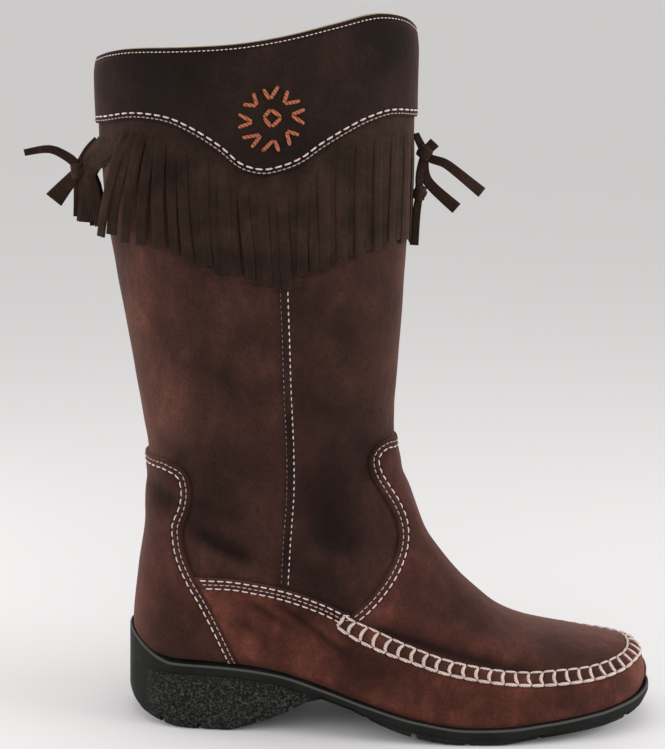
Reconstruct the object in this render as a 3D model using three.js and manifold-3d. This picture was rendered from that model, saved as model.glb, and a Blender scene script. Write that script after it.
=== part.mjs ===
// A right-foot mid-calf suede boot: a moccasin toe, a fringed cuff and a moulded rubber sole unit
// with a low heel. Millimetres. +X points to the toe, +Y to the inner (medial) side and +Z up.
// The origin is on the floor, at the flat spot under the heel.
import * as THREE from "three";
import { mergeVertices } from "three/addons/utils/BufferGeometryUtils.js";
import Module from "manifold-3d";

const wasm = await Module();
wasm.setup();

// Driving sizes of the last and the shaft
const HEEL_BACK = -38; // back of the upper, measured from the heel's flat spot
const FOOT_LENGTH = 260; // upper at the sole, from heel to toe
const BALL_WIDTH = 88; // upper across the ball
const HEEL_WIDTH = 63; // upper across the heel seat
const HEEL_SEAT = 32.3; // feather line above the floor at the heel
const BALL_SEAT = 6; // feather line above the floor at the ball
const TOE_SPRING = 11; // rise of the feather line from ball to toe
const INSTEP_HEIGHT = 118; // heel seat to the bend at the front of the ankle
const ANKLE_WIDTH = 72;
const SHAFT_HEIGHT = 205; // ankle bend to the highest point of the collar
const SHAFT_DEPTH = 155; // front to back at the collar
const SHAFT_WIDTH = 86; // side to side at the collar
const SHAFT_AXIS = 18; // middle of the collar, measured from the origin
const TOE_SWING = 7; // how far the toe points to the inner side

// Materials' thicknesses and the gap kept between pieces
const UPPER_WALL = 2;
const PANEL = 1.4; // suede panels laid over the upper
const CUFF_THICKNESS = 2.3;
const SKIVED_EDGE = 0.8; // fringe leather where it is thinned under the cuff
const SEAM_ROLL = 2.1; // puckered moccasin seam
const SEAM_TAPE = 0.9;
const INSOLE_THICKNESS = 3;
const CLEARANCE = 0.3;

// Collar, cuff and fringe
const COLLAR_DIP = 26; // highest to lowest point of the wavy collar
const COLLAR_TILT = 0.035; // fall of the collar across the boot, to the inner side
const CUFF_BOW = 28; // how far the cuff's lower edge bows down at the sides
const CUFF_HEIGHT = 47.4; // collar's high point to the cuff's lower edge at the front
const FRINGE_LENGTH = 58; // cuff's lower edge to the fringe's ends at the back
const FRINGE_MARGIN = 8; // uncut leather under the cuff's edge
const FRINGE_TUCK = 8; // leather held under the cuff
const STRIP_PITCH = 6.2;
const STRIP_GAP = 1;
const STRIP_THICKNESS = 1.2;
const STRIP_STAND = 2.2; // distance of a strip's end from the shaft
const BACK_STAND = 5; // how much further the strips at the back stand off

// Moccasin seam, panels and back-to-front seams
const WALL_HEIGHT = 25; // feather line to the moccasin seam at the toe
const SEAM_BAND = 8.8; // height of the puckered band
const BAND_START = 0.403; // back end of the puckered band, as a share of the foot's length
const WALL_TAPE = 5.5; // height of the flat seam behind the puckered band
const SIDE_TAPE = 3.4; // width of the upright seam on each side
const LASTING_MARGIN = 7; // upper turned in under the foot

// Sole unit
const LIP = 2.2; // rubber outside the upper
const LIP_HEIGHT = 2.5;
const RIM_BAND = 5; // smooth band above the rough heel
const RIM_STEP = 1.2;
const FLUSH_BACK = 0.05; // share of the foot's length over which the step dies out at the heel's back
const HEEL_CUP = 12; // rise of the rubber behind the heel
const ARCH_THICKNESS = 3;
const EDGE_BEVEL = 1.6;
const TREAD_DEPTH = 2.2;
const TREAD_WIDTH = 2.4;

// Knotted thongs
const THONG_THICKNESS = 1.4;
const THONG_WIDTH = 4;
const THONG_LENGTH = 60; // cuff's edge to the end of the longest thong
const KNOT_RADIUS = 4.2;

const SHAFT_BASE = HEEL_SEAT + INSTEP_HEIGHT;
const BOOT_HEIGHT = SHAFT_BASE + SHAFT_HEIGHT;
const PANEL_FACE = CLEARANCE + PANEL; // outer face of a panel, above the upper's own surface
const REACH = 400; // beyond every side of the boot

// Rows of a table become smooth functions of the row's number, with no overshoot between rows.
function smooth(values) {
  const last = values.length - 1;
  const step = values.slice(1).map((v, i) => v - values[i]);
  const slope = values.map((_, i) => {
    if (i === 0) return step[0];
    if (i === last) return step[last - 1];
    const product = step[i - 1] * step[i];
    return product > 0 ? (2 * product) / (step[i - 1] + step[i]) : 0;
  });
  return (u) => {
    const i = Math.min(Math.max(Math.floor(u), 0), last - 1);
    const f = u - i;
    const rise = f * f * (3 - 2 * f);
    return (
      values[i] +
      (values[i + 1] - values[i]) * rise +
      slope[i] * f * (1 - f) * (1 - f) -
      slope[i + 1] * f * f * (1 - f)
    );
  };
}

// Height of a side line at a place along the boot.
function heightOn(line, x) {
  const i = Math.max(
    line.findIndex(([lx]) => lx > x),
    1,
  );
  const [x0, z0] = line[i - 1];
  const [x1, z1] = line[i];
  return z0 + ((z1 - z0) * Math.min(Math.max(x - x0, 0), x1 - x0)) / (x1 - x0);
}

// The number of the row, with its fraction, at which a rising column reaches a value.
function rowOf(column, value) {
  const last = column.length - 1;
  let i = 0;
  while (i < last - 1 && column[i + 1] < value) i++;
  const f = (value - column[i]) / (column[i + 1] - column[i]);
  return i + Math.min(Math.max(f, 0), 1);
}

// A table's column as a function of another, rising column.
function lookup(rows, from, to) {
  const keys = rows.map((r) => r[from]);
  const value = smooth(rows.map((r) => r[to]));
  return (key) => value(rowOf(keys, key));
}

// Feather line, where the upper meets the sole: share of the foot's length, share of the heel's
// lift over the ball, and share of the toe spring.
const FEATHER = [
  { along: 0, lift: 1, spring: 0 },
  { along: 0.14, lift: 0.99, spring: 0 },
  { along: 0.2, lift: 0.96, spring: 0 },
  { along: 0.285, lift: 0.86, spring: 0 },
  { along: 0.36, lift: 0.66, spring: 0 },
  { along: 0.45, lift: 0.38, spring: 0 },
  { along: 0.545, lift: 0.13, spring: 0 },
  { along: 0.64, lift: 0, spring: 0 },
  { along: 0.71, lift: 0, spring: 0.03 },
  { along: 0.79, lift: 0, spring: 0.22 },
  { along: 0.9, lift: 0, spring: 0.52 },
  { along: 0.96, lift: 0, spring: 0.76 },
  { along: 1, lift: 0, spring: 1 },
];
const liftAt = lookup(FEATHER, "along", "lift");
const springAt = lookup(FEATHER, "along", "spring");
const featherAt = (along) =>
  BALL_SEAT +
  (HEEL_SEAT - BALL_SEAT) * liftAt(along) +
  TOE_SPRING * springAt(along);
const footX = (along) => HEEL_BACK + FOOT_LENGTH * along;

// Outline of the upper from above: half widths to the outer and inner side as shares of the ball
// or heel width, and the swing of the middle line as a share of the toe's swing.
const OUTLINE = [
  { along: 0, outer: 0, inner: 0, heel: 1, swing: 0 },
  { along: 0.02, outer: 0.27, inner: 0.27, heel: 1, swing: 0 },
  { along: 0.06, outer: 0.43, inner: 0.43, heel: 1, swing: 0 },
  { along: 0.13, outer: 0.5, inner: 0.5, heel: 1, swing: 0 },
  { along: 0.28, outer: 0.52, inner: 0.5, heel: 1, swing: -0.1 },
  { along: 0.42, outer: 0.43, inner: 0.35, heel: 0, swing: -0.2 },
  { along: 0.55, outer: 0.49, inner: 0.43, heel: 0, swing: -0.1 },
  { along: 0.68, outer: 0.51, inner: 0.49, heel: 0, swing: 0.1 },
  { along: 0.8, outer: 0.48, inner: 0.48, heel: 0, swing: 0.4 },
  { along: 0.89, outer: 0.415, inner: 0.415, heel: 0, swing: 0.7 },
  { along: 0.95, outer: 0.315, inner: 0.315, heel: 0, swing: 0.9 },
  { along: 0.985, outer: 0.19, inner: 0.19, heel: 0, swing: 1 },
  { along: 1, outer: 0, inner: 0, heel: 0, swing: 1 },
];
const turnOf = (along) =>
  Math.acos(Math.min(Math.max(1 - 2 * along, -1), 1)) / Math.PI;
const outlineRows = OUTLINE.map((r) => {
  const width = r.heel ? HEEL_WIDTH : BALL_WIDTH;
  return {
    turn: turnOf(r.along),
    outer: r.outer * width,
    inner: r.inner * width,
    middle: r.swing * TOE_SWING,
  };
});
const outerHalf = lookup(outlineRows, "turn", "outer");
const innerHalf = lookup(outlineRows, "turn", "inner");
const middleLine = lookup(outlineRows, "turn", "middle");

// Sections of the last in the foot. front is the point on the ridge over the toe and instep, back
// the point under the foot or behind the heel: x as a share of the foot's length, z above the
// feather line (front) or heel seat (back) as a share of the instep height. broad scales the
// outline's half widths, belly is the height of the widest place, and low and high square the
// section under and over it.
const FOOT_SECTIONS = [
  { front: [1, 0.09], back: [1, 0.02], broad: 0.1, belly: 0.45, low: 2.4, high: 2.4 },
  { front: [0.992, 0.142], back: [0.992, 0.003], broad: 1, belly: 0.42, low: 4, high: 2.5 },
  { front: [0.977, 0.176], back: [0.975, 0], broad: 1, belly: 0.4, low: 6, high: 2.3 },
  { front: [0.95, 0.208], back: [0.943, 0], broad: 1, belly: 0.38, low: 7, high: 2.2 },
  { front: [0.904, 0.242], back: [0.893, 0], broad: 1, belly: 0.36, low: 7.5, high: 2.15 },
  { front: [0.843, 0.283], back: [0.828, 0], broad: 1, belly: 0.34, low: 7.5, high: 2.15 },
  { front: [0.778, 0.332], back: [0.751, 0], broad: 1, belly: 0.31, low: 7.5, high: 2.15 },
  { front: [0.724, 0.39], back: [0.67, 0], broad: 1, belly: 0.27, low: 7.5, high: 2.2 },
  { front: [0.675, 0.478], back: [0.586, 0], broad: 1, belly: 0.25, low: 7.5, high: 2.1 },
  { front: [0.629, 0.57], back: [0.502, 0], broad: 1, belly: 0.25, low: 7, high: 2.05 },
  { front: [0.59, 0.66], back: [0.422, 0], broad: 1.02, belly: 0.26, low: 6.5, high: 2.1 },
  { front: [0.557, 0.748], back: [0.33, 0], broad: 1.04, belly: 0.29, low: 6, high: 2.15 },
  { front: [0.537, 0.842], back: [0.23, 0], broad: 1.04, belly: 0.32, low: 5, high: 2.2 },
  { front: [0.519, 0.936], back: [0.115, 0], broad: 1.07, belly: 0.35, low: 3.8, high: 2.25 },
  { front: [0.506, 1.012], back: [0.014, 0], broad: 1.09, belly: 0.37, low: 2.8, high: 2.3 },
];

// Sections above the heel and in the shaft: x as a share of the shaft's depth from its axis, z
// above the heel seat as a share of the instep height (rise) plus a share of the shaft height
// (climb); width between ankle (0) and collar (1).
const SHAFT_SECTIONS = [
  { front: [0.473, 0.94, 0], back: [-0.363, 0.02, 0], width: -0.22, belly: 0.38, low: 2.35 },
  { front: [0.469, 0.985, 0], back: [-0.364, 0.15, 0], width: -0.16, belly: 0.39, low: 2.3 },
  { front: [0.466, 1, 0.02], back: [-0.349, 0.375, 0], width: -0.05, belly: 0.43, low: 2.2 },
  { front: [0.466, 1, 0.06], back: [-0.326, 0.612, 0], width: 0.02, belly: 0.46, low: 2.2 },
  { front: [0.469, 1, 0.117], back: [-0.326, 0.831, 0], width: 0.12, belly: 0.48, low: 2.2 },
  { front: [0.475, 1, 0.195], back: [-0.353, 1, 0.049], width: 0.3, belly: 0.5, low: 2.2 },
  { front: [0.482, 1, 0.3], back: [-0.394, 1, 0.22], width: 0.56, belly: 0.5, low: 2.2 },
  { front: [0.488, 1, 0.43], back: [-0.437, 1, 0.395], width: 0.78, belly: 0.5, low: 2.2 },
  { front: [0.494, 1, 0.61], back: [-0.475, 1, 0.59], width: 0.95, belly: 0.5, low: 2.2 },
  { front: [0.495, 1, 0.8], back: [-0.487, 1, 0.79], width: 1, belly: 0.5, low: 2.2 },
  { front: [0.494, 1, 1.08], back: [-0.491, 1, 1.07], width: 1, belly: 0.5, low: 2.2 },
];

const footSection = (r) => {
  const [frontAlong, frontRise] = r.front;
  const [backAlong, backRise] = r.back;
  const turn = turnOf(backAlong);
  const fullHeel = turnOf(0.13);
  const tip = turnOf(FOOT_SECTIONS[1].front[0]);
  const width = Math.min(Math.max(turn, fullHeel), tip);
  return {
    frontX: footX(frontAlong),
    frontZ: featherAt(frontAlong) + frontRise * INSTEP_HEIGHT,
    backX: footX(backAlong),
    backZ: featherAt(backAlong) + backRise * INSTEP_HEIGHT,
    outer: outerHalf(width) * (backAlong === 1 ? 0.6 : r.broad),
    inner: innerHalf(width) * (backAlong === 1 ? 0.6 : r.broad),
    middle: middleLine(turn),
    belly: r.belly,
    low: r.low,
    high: r.high,
  };
};
const shaftSection = (r) => {
  const [frontX, frontRise, frontClimb] = r.front;
  const [backX, backRise, backClimb] = r.back;
  const half = (ANKLE_WIDTH + (SHAFT_WIDTH - ANKLE_WIDTH) * r.width) / 2;
  return {
    frontX: SHAFT_AXIS + frontX * SHAFT_DEPTH,
    frontZ: HEEL_SEAT + frontRise * INSTEP_HEIGHT + frontClimb * SHAFT_HEIGHT,
    backX: SHAFT_AXIS + backX * SHAFT_DEPTH,
    backZ: HEEL_SEAT + backRise * INSTEP_HEIGHT + backClimb * SHAFT_HEIGHT,
    outer: half,
    inner: half,
    middle: 0,
    belly: r.belly,
    low: r.low,
    high: r.low,
  };
};
const SECTIONS = [
  ...FOOT_SECTIONS.map(footSection),
  ...SHAFT_SECTIONS.map(shaftSection),
];
const section = Object.fromEntries(
  Object.keys(SECTIONS[0]).map((key) => [
    key,
    smooth(SECTIONS.map((r) => r[key])),
  ]),
);
const LAST_SECTION = SECTIONS.length - 1;

// A point of the last. place runs from the toe (0) to the top of the shaft (LAST_SECTION), turn
// from the back or underside (0) over the outer side to the ridge (1), and over the inner side
// back to the start (2).
function lastPoint(place, turn) {
  const s = Object.fromEntries(
    Object.entries(section).map(([key, f]) => [key, f(place)]),
  );
  const outerSide = turn <= 1;
  const way = outerSide ? turn : 2 - turn;
  const lowShare = 0.44; // of the turn, under the widest place
  const under = way < lowShare;
  const angle =
    (Math.PI / 2) *
    (under ? way / lowShare : (way - lowShare) / (1 - lowShare));
  const power = 2 / (under ? s.low : s.high);
  const cos = Math.max(Math.cos(angle), 0) ** power;
  const sin = Math.sin(angle) ** power;
  const up = under ? s.belly * (1 - cos) : s.belly + (1 - s.belly) * sin;
  const out = under ? sin : cos;
  return new THREE.Vector3(
    s.backX + (s.frontX - s.backX) * up,
    s.middle + out * (outerSide ? -s.outer : s.inner),
    s.backZ + (s.frontZ - s.backZ) * up,
  );
}

// A closed geometry from rings of equally many points, with a fan over each end.
function loft(rings) {
  const count = rings[0].length;
  const points = rings.flat();
  const faces = [];
  for (let i = 0; i + 1 < rings.length; i++)
    for (let j = 0; j < count; j++) {
      const a = i * count + j;
      const b = i * count + ((j + 1) % count);
      faces.push(a, b, b + count, a, b + count, a + count);
    }
  for (const [ring, flip] of [
    [0, true],
    [rings.length - 1, false],
  ]) {
    if (count === 4) {
      const a = ring * count;
      const corners = [a, a + 1, a + 2, a, a + 2, a + 3];
      faces.push(...(flip ? corners.reverse() : corners));
      continue;
    }
    const centre = rings[ring]
      .reduce((sum, p) => sum.add(p), new THREE.Vector3())
      .divideScalar(count);
    points.push(centre);
    for (let j = 0; j < count; j++) {
      const a = ring * count + j;
      const b = ring * count + ((j + 1) % count);
      faces.push(points.length - 1, ...(flip ? [b, a] : [a, b]));
    }
  }
  return new THREE.BufferGeometry().setFromPoints(points).setIndex(faces);
}

// A three.js geometry as a solid, turned right side out.
function solid(geometry) {
  const bare = geometry.clone();
  bare.deleteAttribute("normal");
  bare.deleteAttribute("uv");
  const merged = mergeVertices(bare, 1e-3);
  const triVerts = new Uint32Array(merged.index.array);
  const make = () =>
    new wasm.Manifold(
      new wasm.Mesh({
        numProp: 3,
        vertProperties: merged.attributes.position.array,
        triVerts,
      }),
    );
  const made = make();
  if (made.volume() > 0) return made;
  for (let i = 0; i < triVerts.length; i += 3)
    [triVerts[i + 1], triVerts[i + 2]] = [triVerts[i + 2], triVerts[i + 1]];
  return make();
}

// The last as one closed solid, grown outwards by a distance, or shrunk if it is negative.
const TURN_STEPS = [0, 0.06, 0.13, 0.21, 0.31, 0.44, 0.54, 0.65, 0.76, 0.88];
const turns = [
  ...TURN_STEPS,
  1,
  ...TURN_STEPS.slice(1).reverse().map((t) => 2 - t),
];
const lastRings = SECTIONS.map((_, i) => turns.map((t) => lastPoint(i, t)));
const lastGeometry = loft(lastRings);
lastGeometry.computeVertexNormals();
const lastSign = (() => {
  const normal = lastGeometry.attributes.normal;
  return Math.sign(normal.getX(normal.count - 2)) || 1; // the toe's own end faces forwards
})();
const grown = new Map();
function last(distance) {
  if (!grown.has(distance)) {
    const made = lastGeometry.clone();
    const position = made.attributes.position;
    const normal = made.attributes.normal;
    for (let i = 0; i < position.count; i++)
      position.setXYZ(
        i,
        position.getX(i) + lastSign * distance * normal.getX(i),
        position.getY(i) + lastSign * distance * normal.getY(i),
        position.getZ(i) + lastSign * distance * normal.getZ(i),
      );
    grown.set(distance, solid(made));
  }
  return grown.get(distance);
}
const shell = (from, to) => last(to).subtract(last(from));

// Cutting forms. sideForm takes an outline in x and z and runs across the boot, falling with its
// tilt to the inner side; planForm takes one in x and y, upright.
function sideForm(outline, tilt = 0) {
  const shape = new THREE.Shape(outline.map(([x, z]) => new THREE.Vector2(x, z)));
  const made = new THREE.ExtrudeGeometry(shape, {
    depth: 2 * REACH,
    bevelEnabled: false,
  });
  made.rotateX(Math.PI / 2).translate(0, REACH, 0);
  return solid(made.applyMatrix4(new THREE.Matrix4().makeShear(0, 0, 0, -tilt, 0, 0)));
}
function planForm(outline, bottom, top) {
  const shape = new THREE.Shape(outline.map(([x, y]) => new THREE.Vector2(x, y)));
  const made = new THREE.ExtrudeGeometry(shape, {
    depth: top - bottom,
    bevelEnabled: false,
  });
  return solid(made.translate(0, 0, bottom));
}
const curve = (points, pieces) =>
  new THREE.SplineCurve(points.map(([x, z]) => new THREE.Vector2(x, z)))
    .getPoints(pieces)
    .map((p) => [p.x, p.y]);
const raised = (line, by) => line.map(([x, z]) => [x, z + by]);
const sideOf = (line, z, tilt) =>
  sideForm(
    [
      [-REACH, line[0][1]],
      ...line,
      [REACH, line.at(-1)[1]],
      [REACH, z],
      [-REACH, z],
    ],
    tilt,
  );
const above = (line, tilt) => sideOf(line, REACH, tilt);
const below = (line) => sideOf(line, -REACH);

// Lines of the boot seen from the side
const featherLine = Array.from({ length: 15 }, (_, i) => [
  footX(i / 14),
  featherAt(i / 14),
]);
const shaftLine = (rows, height) =>
  curve(
    rows.map((r) => [SHAFT_AXIS + r.across * SHAFT_DEPTH, height(r)]),
    14,
  );

// Collar: place across the shaft, and depth under its high point as a share of the collar's dip.
const collarLine = shaftLine(
  [
    { across: -0.53, dip: 1.02 },
    { across: -0.477, dip: 0.9 },
    { across: -0.435, dip: 0.82 },
    { across: -0.36, dip: 0.755 },
    { across: -0.2, dip: 0.715 },
    { across: -0.045, dip: 0.638 },
    { across: 0.1, dip: 0.478 },
    { across: 0.25, dip: 0.235 },
    { across: 0.34, dip: 0.078 },
    { across: 0.4, dip: 0.035 },
    { across: 0.46, dip: 0.095 },
    { across: 0.5, dip: 0.27 },
    { across: 0.53, dip: 0.5 },
  ],
  (r) => BOOT_HEIGHT - r.dip * COLLAR_DIP,
);

// Cuff's lower edge: bow as a share of its full bow at the side, and slope from front to back.
const cuffEdge = shaftLine(
  [
    { across: -0.53, bow: 0.34 },
    { across: -0.448, bow: 0.245 },
    { across: -0.37, bow: 0.15 },
    { across: -0.305, bow: 0.145 },
    { across: -0.239, bow: 0.205 },
    { across: -0.165, bow: 0.39 },
    { across: -0.1, bow: 0.615 },
    { across: -0.035, bow: 0.9 },
    { across: 0.035, bow: 1 },
    { across: 0.1, bow: 0.93 },
    { across: 0.16, bow: 0.785 },
    { across: 0.22, bow: 0.54 },
    { across: 0.29, bow: 0.295 },
    { across: 0.36, bow: 0.095 },
    { across: 0.43, bow: 0 },
    { across: 0.53, bow: 0.1 },
  ],
  (r) => BOOT_HEIGHT - CUFF_HEIGHT - r.bow * CUFF_BOW,
);

// Ends of the fringe: drop under the cuff's edge at the front, as a share of the fringe's length.
const hemLine = shaftLine(
  [
    { across: -0.53, drop: 0.98 },
    { across: -0.42, drop: 1.0 },
    { across: -0.3, drop: 1.09 },
    { across: -0.21, drop: 1.18 },
    { across: -0.116, drop: 1.28 },
    { across: -0.026, drop: 1.35 },
    { across: 0.07, drop: 1.38 },
    { across: 0.155, drop: 1.33 },
    { across: 0.245, drop: 1.22 },
    { across: 0.342, drop: 1.13 },
    { across: 0.46, drop: 1.04 },
    { across: 0.53, drop: 1.1 },
  ],
  (r) => BOOT_HEIGHT - CUFF_HEIGHT - r.drop * FRINGE_LENGTH,
);

// Moccasin seam: height of the middle of the puckered band as a share of the wall's height, the
// band's height as a share of its size, and how much higher the inner side's seam is.
const MOC_SEAM = [
  { along: 0.34, rise: 1.85, band: 0.85, inner: 0 },
  { along: 0.405, rise: 1.545, band: 0.88, inner: 0 },
  { along: 0.46, rise: 1.456, band: 0.95, inner: 0.02 },
  { along: 0.53, rise: 1.385, band: 0.81, inner: 0.05 },
  { along: 0.6, rise: 1.28, band: 0.71, inner: 0.08 },
  { along: 0.68, rise: 1.14, band: 0.64, inner: 0.11 },
  { along: 0.76, rise: 0.99, band: 0.62, inner: 0.13 },
  { along: 0.84, rise: 0.873, band: 0.56, inner: 0.11 },
  { along: 0.9, rise: 0.815, band: 0.535, inner: 0.055 },
  { along: 0.95, rise: 0.792, band: 0.515, inner: 0.01 },
  { along: 0.98, rise: 0.79, band: 0.5, inner: 0 },
  { along: 1.04, rise: 0.79, band: 0.5, inner: 0 },
];
const seamLine = (edge, side) =>
  curve(
    MOC_SEAM.map((r) => [
      footX(r.along),
      featherAt(Math.min(r.along, 1)) +
        (r.rise + (side > 0 ? r.inner : 0)) * WALL_HEIGHT +
        (edge * r.band * SEAM_BAND) / 2,
    ]),
    15,
  );

// Top edge of the side wall behind the puckered band, from the heel counter to the band: share of
// the foot's length, and height over the heel seat as a share of the instep height.
const rearPoint = (r) => [
  footX(r.along),
  HEEL_SEAT + r.rise * INSTEP_HEIGHT,
];
const WALL_TOP = [
  { along: 0.1, rise: 0.4 },
  { along: 0.18, rise: 0.402 },
  { along: 0.235, rise: 0.385 },
  { along: 0.295, rise: 0.355 },
  { along: 0.36, rise: 0.307 },
  { along: 0.405, rise: 0.262 },
];
const wallTop = curve(WALL_TOP.map(rearPoint), 9);

// Edge of the heel counter, from the back of the ankle down to the sole.
const COUNTER_EDGE = [
  { along: -0.2, rise: 0.884 },
  { along: 0.035, rise: 0.884 },
  { along: 0.07, rise: 0.876 },
  { along: 0.099, rise: 0.846 },
  { along: 0.11, rise: 0.77 },
  { along: 0.105, rise: 0.68 },
  { along: 0.096, rise: 0.6 },
  { along: 0.1, rise: 0.5 },
  { along: 0.12, rise: 0.395 },
  { along: 0.145, rise: 0.3 },
  { along: 0.175, rise: 0.165 },
  { along: 0.21, rise: 0 },
  { along: 0.23, rise: -0.1 },
];
const counterEdge = (gap) =>
  curve(
    COUNTER_EDGE.map((r) => {
      const [x, z] = rearPoint(r);
      return [x + gap, z + gap];
    }),
    18,
  );

// Edge of the vamp, from the front of the ankle down to the puckered band.
const VAMP_EDGE = [
  { along: 0.6, rise: 0.96 },
  { along: 0.505, rise: 0.965 },
  { along: 0.48, rise: 0.972 },
  { along: 0.456, rise: 0.945 },
  { along: 0.446, rise: 0.9 },
  { along: 0.451, rise: 0.84 },
  { along: 0.468, rise: 0.765 },
  { along: 0.488, rise: 0.69 },
  { along: 0.503, rise: 0.61 },
  { along: 0.505, rise: 0.53 },
  { along: 0.493, rise: 0.45 },
  { along: 0.47, rise: 0.37 },
  { along: 0.44, rise: 0.295 },
  { along: 0.41, rise: 0.24 },
];
const vampEdge = curve(VAMP_EDGE.map(rearPoint), 18);

// Upright seam in the middle of each side, from the side wall up to the fringe.
const SIDE_SEAM = [
  { across: 0.125, rise: 0.37, climb: 0 },
  { across: 0.13, rise: 0.56, climb: 0 },
  { across: 0.138, rise: 0.78, climb: 0 },
  { across: 0.134, rise: 1, climb: 0 },
  { across: 0.124, rise: 1, climb: 0.12 },
  { across: 0.117, rise: 1, climb: 0.24 },
  { across: 0.109, rise: 1, climb: 0.36 },
  { across: 0.108, rise: 1, climb: 0.42 },
];
const sideSeam = curve(
  SIDE_SEAM.map((r) => [
    SHAFT_AXIS + r.across * SHAFT_DEPTH,
    HEEL_SEAT + r.rise * INSTEP_HEIGHT + r.climb * SHAFT_HEIGHT,
  ]),
  9,
);

// Pieces of the upper
// One side of the boot: -1 is the outer side, 1 the inner.
const sideHalf = (side) =>
  solid(new THREE.BoxGeometry(2 * REACH, REACH, 2 * REACH).translate(0, (side * REACH) / 2, 0));
const bothSides = (form) =>
  form(-1).intersect(sideHalf(-1)).add(form(1).intersect(sideHalf(1)));

const overCollar = above(collarLine, COLLAR_TILT);
const overFeather = above(raised(featherLine, CLEARANCE));

function insideOutline(inset) {
  const steps = 14;
  const outline = [];
  for (let i = 0; i <= steps; i++) {
    const along = (1 - Math.cos((Math.PI * i) / steps)) / 2;
    const x = footX(inset / FOOT_LENGTH + along * (1 - (2 * inset) / FOOT_LENGTH));
    outline.push([along, x]);
  }
  const half = (f, along) => Math.max(f(turnOf(along)) - inset, 0.5);
  return [
    ...outline.map(([a, x]) => [x, middleLine(turnOf(a)) - half(outerHalf, a)]),
    ...outline.reverse().map(([a, x]) => [x, middleLine(turnOf(a)) + half(innerHalf, a)]),
  ];
}

function upperShell() {
  const underFoot = planForm(
    insideOutline(UPPER_WALL + LASTING_MARGIN),
    -REACH,
    REACH,
  ).intersect(below(raised(featherLine, UPPER_WALL + INSOLE_THICKNESS / 2)));
  return shell(-UPPER_WALL, 0).subtract(overCollar).subtract(underFoot);
}

function insole() {
  const top = UPPER_WALL + CLEARANCE + INSOLE_THICKNESS;
  return last(-UPPER_WALL - CLEARANCE).intersect(below(raised(featherLine, top)));
}

const panelShell = shell(CLEARANCE, PANEL_FACE).intersect(overFeather);

function counterForm(gap) {
  const edge = counterEdge(gap);
  return sideForm([...edge, [edge.at(-1)[0], -REACH], [-REACH, -REACH], [-REACH, edge[0][1]]]);
}
const heelCounter = () => panelShell.intersect(counterForm(0));

// The vamp lies in front of its edge and above the seam.
function vamp() {
  const inFront = sideForm([
    [REACH, vampEdge[0][1]],
    ...vampEdge,
    [vampEdge.at(-1)[0], -REACH],
    [REACH, -REACH],
  ]);
  return panelShell
    .intersect(inFront)
    .intersect(bothSides((side) => above(seamLine(1, side))));
}

// The wall under the seam, without the counter's place. Behind the band its top edge is the flat seam.
const bandStart = footX(BAND_START);
function sideWall() {
  const rear = wallTop.filter(([x]) => x < bandStart - 2 * CLEARANCE);
  const step = bandStart - CLEARANCE;
  const underTop = (side) => {
    const seam = raised(seamLine(-1, side), -CLEARANCE);
    return below([
      ...rear,
      [step, heightOn(wallTop, step)],
      [step, heightOn(seam, step)],
      ...seam.filter(([x]) => x > bandStart),
    ]);
  };
  return panelShell.intersect(bothSides(underTop)).subtract(counterForm(CLEARANCE));
}

// The puckered band that joins vamp and wall around the toe.
function moccasinSeam() {
  const band = (side) => {
    const low = seamLine(-1, side);
    const high = raised(seamLine(1, side), -CLEARANCE);
    return sideForm([
      [bandStart, heightOn(low, bandStart)],
      ...low.filter(([x]) => x > bandStart),
      [REACH, low.at(-1)[1]],
      [REACH, high.at(-1)[1]],
      ...high.filter(([x]) => x > bandStart).reverse(),
      [bandStart, heightOn(high, bandStart)],
    ]);
  };
  return shell(CLEARANCE, CLEARANCE + SEAM_ROLL).intersect(bothSides(band));
}

// The flat stitched strip along the top edge of the wall, between the counter and the puckered band.
function wallTape(side) {
  const low = wallTop.map(([x, z]) => [x, z - WALL_TAPE]);
  const band = sideForm([...wallTop, ...low.reverse()]);
  const end = new THREE.BoxGeometry(REACH, 2 * REACH, 2 * REACH);
  end.translate(bandStart - 2 * CLEARANCE + REACH / 2, 0, 0);
  return shell(PANEL_FACE + CLEARANCE, PANEL_FACE + CLEARANCE + SEAM_TAPE)
    .intersect(band)
    .intersect(sideHalf(side))
    .subtract(solid(end))
    .subtract(counterForm(CLEARANCE));
}

const cuffForm = () => above(cuffEdge).subtract(overCollar);
function cuff() {
  const tuck = below(raised(cuffEdge, FRINGE_TUCK + CLEARANCE)).intersect(
    last(CLEARANCE + SKIVED_EDGE + CLEARANCE),
  );
  return shell(CLEARANCE, CLEARANCE + CUFF_THICKNESS)
    .intersect(cuffForm())
    .subtract(tuck);
}

// Upright seam tape on one side.
function sideTape(side) {
  const line = [
    ...sideSeam.map(([x, z]) => [x - SIDE_TAPE / 2, z]),
    ...sideSeam.map(([x, z]) => [x + SIDE_TAPE / 2, z]).reverse(),
  ];
  return shell(CLEARANCE, CLEARANCE + SEAM_TAPE)
    .intersect(sideForm(line))
    .intersect(sideHalf(side))
    .subtract(below(raised(wallTop, CLEARANCE)));
}

// A point of the faceted last between its rings and its lines.
function facetPoint(place, turn) {
  const i = Math.min(Math.floor(place), LAST_SECTION - 1);
  const wrapped = ((turn % 2) + 2) % 2;
  const line = [...turns, 2];
  const j = line.findIndex((t) => t > wrapped) - 1;
  const f = (wrapped - line[j]) / (line[j + 1] - line[j]);
  const next = (j + 1) % turns.length;
  const edge = (ring) => ring[j].clone().lerp(ring[next], f);
  return edge(lastRings[i]).lerp(edge(lastRings[i + 1]), place - i);
}

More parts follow.
